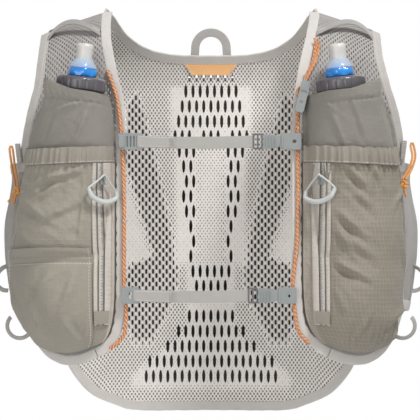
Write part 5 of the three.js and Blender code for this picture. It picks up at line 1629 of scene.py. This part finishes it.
# The upper strap ends in a toothed hook, the lower one in a plain tab.
def strap_hook(name, line, start, end):
    half, middle = (end - start) / 2, (start + end) / 2
    if name == "upper":
        teeth = [rectangle(-half + 9 + 3.4 * k, -half + 10.6 + 3.4 * k, -5.4, 5.4, 0.7, 2) for k in range(4)]
        body = rectangle(-half, half, -HARD_HALF, HARD_HALF, 2.4, 4)
        grip = rectangle(-half + 1, -half + 7.4, -RIB_HALF, RIB_HALF, 1.6, 3)
        back = rectangle(-half + 7, half - 1, -RIB_HALF, RIB_HALF, 1, 2)
        pieces = [strap_part("hook", body, teeth, HARD_THICK, middle, line),
                  strap_part("grip", grip, [], 5.0, middle, line, lift=0.4),
                  strap_part("back", back, [], 1.2, middle, line, lift=-0.6)]
    else:
        body = rectangle(-half, half, -HARD_HALF, HARD_HALF, 1.8, 3)
        slot = rectangle(-1.3, 1.3, -3.6, 3.6, 1.2, 3)
        pieces = [strap_part("tab", body, [slot], HARD_THICK, middle, line)]
    settle(join(f"chest_hook_body_{name}", pieces), PLASTIC, [f"chest_hook_{name}"])


def strap_slider(name, line, start, end):
    half, middle = (end - start) / 2, (start + end) / 2
    slots = [rectangle(-half + 1.6, -0.9, -6.2, 6.2, 0.6, 2), rectangle(0.9, half - 1.6, -6.2, 6.2, 0.6, 2)]
    body = strap_part(f"chest_slider_body_{name}", rectangle(-half, half, -8, 8, 1.4, 3), slots, HARD_THICK,
                      middle, line)
    settle(body, DARK_PLASTIC, [f"chest_slider_{name}"])


def strap_buckle(name, line, start, end):
    half, middle = (end - start) / 2 - GAP, (end + start) / 2
    outline = [(-half, -7.2), (-half, 7.2), (-half + 3, 7.5), (half - 4, 6.6), (half, 5.2), (half, -5.2),
               (half - 4, -6.6), (-half + 3, -7.5)]
    pieces = [strap_part("buckle", outline, [], 5.2, middle, line)]
    for k in range(4):
        rib = rectangle(-half + 2.4 + 3 * k, -half + 3.6 + 3 * k, -5.2, 5.2, 0.5, 2)
        pieces.append(strap_part("rib", rib, [], 1.2, middle, line, bevel=0.3, lift=2.9))
    settle(join(f"chest_buckle_body_{name}", pieces), PLASTIC, [f"chest_buckle_{name}"])


# The clip on the right rail cord, with the cord's hole and one raised bar.
def strap_clip(name, line, start, end):
    half, middle = (end - start) / 2, (start + end) / 2
    hole = circle_section(1.9, 12) + (half - 7, 0)
    body = strap_part("clip", rectangle(-half, half, -HARD_HALF, HARD_HALF, 2.2, 4), [hole], HARD_THICK, middle, line)
    rib = rectangle(-half + 1.2, -half + 3, -RIB_HALF, RIB_HALF, 0.7, 2)
    bar = strap_part("bar", rib, [], 1.0, middle, line, bevel=0.3, lift=1.9)
    settle(join(f"chest_clip_body_{name}", [body, bar]), PLASTIC, [f"chest_clip_{name}"])


def chest_straps():
    proud = CLOTH_WALL / 2 + TAPE_THICK / 2 + GAP + 2 * RAIL_RADIUS + GAP + HARD_THICK / 2
    for name, drop, shares in STRAPS:
        line = (-(float(depth(np.array(RAIL_SHARE * HALF_WIDTH), np.array(-drop))) + proud), drop)
        hook, web, slider, buckle, clip, end = (share * HALF_WIDTH for share in shares)
        strap_web(name, line, web, slider)
        strap_hook(name, line, hook, web)
        strap_slider(name, line, slider, buckle)
        strap_buckle(name, line, buckle, clip)
        strap_clip(name, line, clip, end)


def drawcord_tab(side, sign):
    lift = CLOTH_WALL / 2 + TAPE_THICK / 2 + 4 * GAP + 1
    reach, drop = 0.907 * HALF_WIDTH, DRAW_ROUTE[side][0][1] * FRONT_LENGTH + 6
    seat, normal = front_point(sign * reach, -drop, lift)
    rise = unit(Z_AXIS - normal * normal[2])
    along = np.cross(rise, normal)
    outline = rectangle(-3.4, 3.4, -9.9, 9.9, 0.8, 2)
    tab = plate(f"drawcord_tab_web_{side}", outline, [], 1.8, 0.4, seat, along, rise, normal)
    settle(tab, WEB, [f"drawcord_tab_{side}"])
    for shift in (-8, -5.6, 5.6, 8):
        row = np.array([seat + rise * shift - along * 2.8, seat + rise * shift + along * 2.8]) + normal * 1.0
        stitch_along(row, np.tile(normal, (2, 1)), 1.9, 0.05)


# Webbing loops on the side: one on the mesh under the arm, one at the lower corner of the front.
def side_loops(side, sign):
    flank, spot = side_spot(side), front_spot(side)
    one = np.array(1.0)
    corner = lifted(spot, one, one * 0.94, one * CLOTH_WALL / 2)
    slant = unit(np.array([sign, 0.1, -1.0]))
    root = lifted(flank, one * 0.2, one * 0.82, one * (CLOTH_WALL + GAP / 4))
    out = normal_at(flank, one * 0.2, one * 0.82)
    for label, base, ray in (("upper", root, out), ("lower", corner + slant * (TAPE_WIDTH + 4.5 * GAP), slant)):
        tall = Z_AXIS if label == "upper" else np.array([-ray[2], 0, ray[0]])
        flat = unit(np.array([ray[1], -ray[0], 0])) if label == "upper" else np.array([0.0, 1, 0])
        turns = np.linspace(0, math.pi, 28)
        rays = np.sin(turns)[:, None] * ray + np.cos(turns)[:, None] * tall
        path = base + rays * (12 + WEB_THICK / 2)
        turned = unit(0.72 * flat + 0.7 * rays)
        obj = sweep(f"side_web_{label}_{side}", path, turned, np.cross(turned, np.cross(flat, rays)),
                    flat_section(5.6, WEB_THICK, -2.8, 0.05, 0.4, 4))
        settle(obj, WEB, [f"side_loop_{label}_{side}"])


def tabs_and_loops():
    for side, sign, _ in SIDES:
        drawcord_tab(side, sign)
        side_loops(side, sign)


stage()
draw_cords()
knitted_back()
back_lining()
back_yokes()
outer_back_pocket()
front_bases()
bindings()
flask_sleeves()
zip_pockets()
stash_pocket()
flasks()
zips()
rail_cords()
shoulder_bands()
hang_loop()
neck_label()
whistle()
chest_straps()
tabs_and_loops()

places, alongs, ups = (np.concatenate(part) for part in zip(*stitch_rows))
set_pieces("stitches", places, alongs, ups, STITCH, THREAD)
for shape in (STITCH, TOOTH):
    bpy.data.objects.remove(shape)
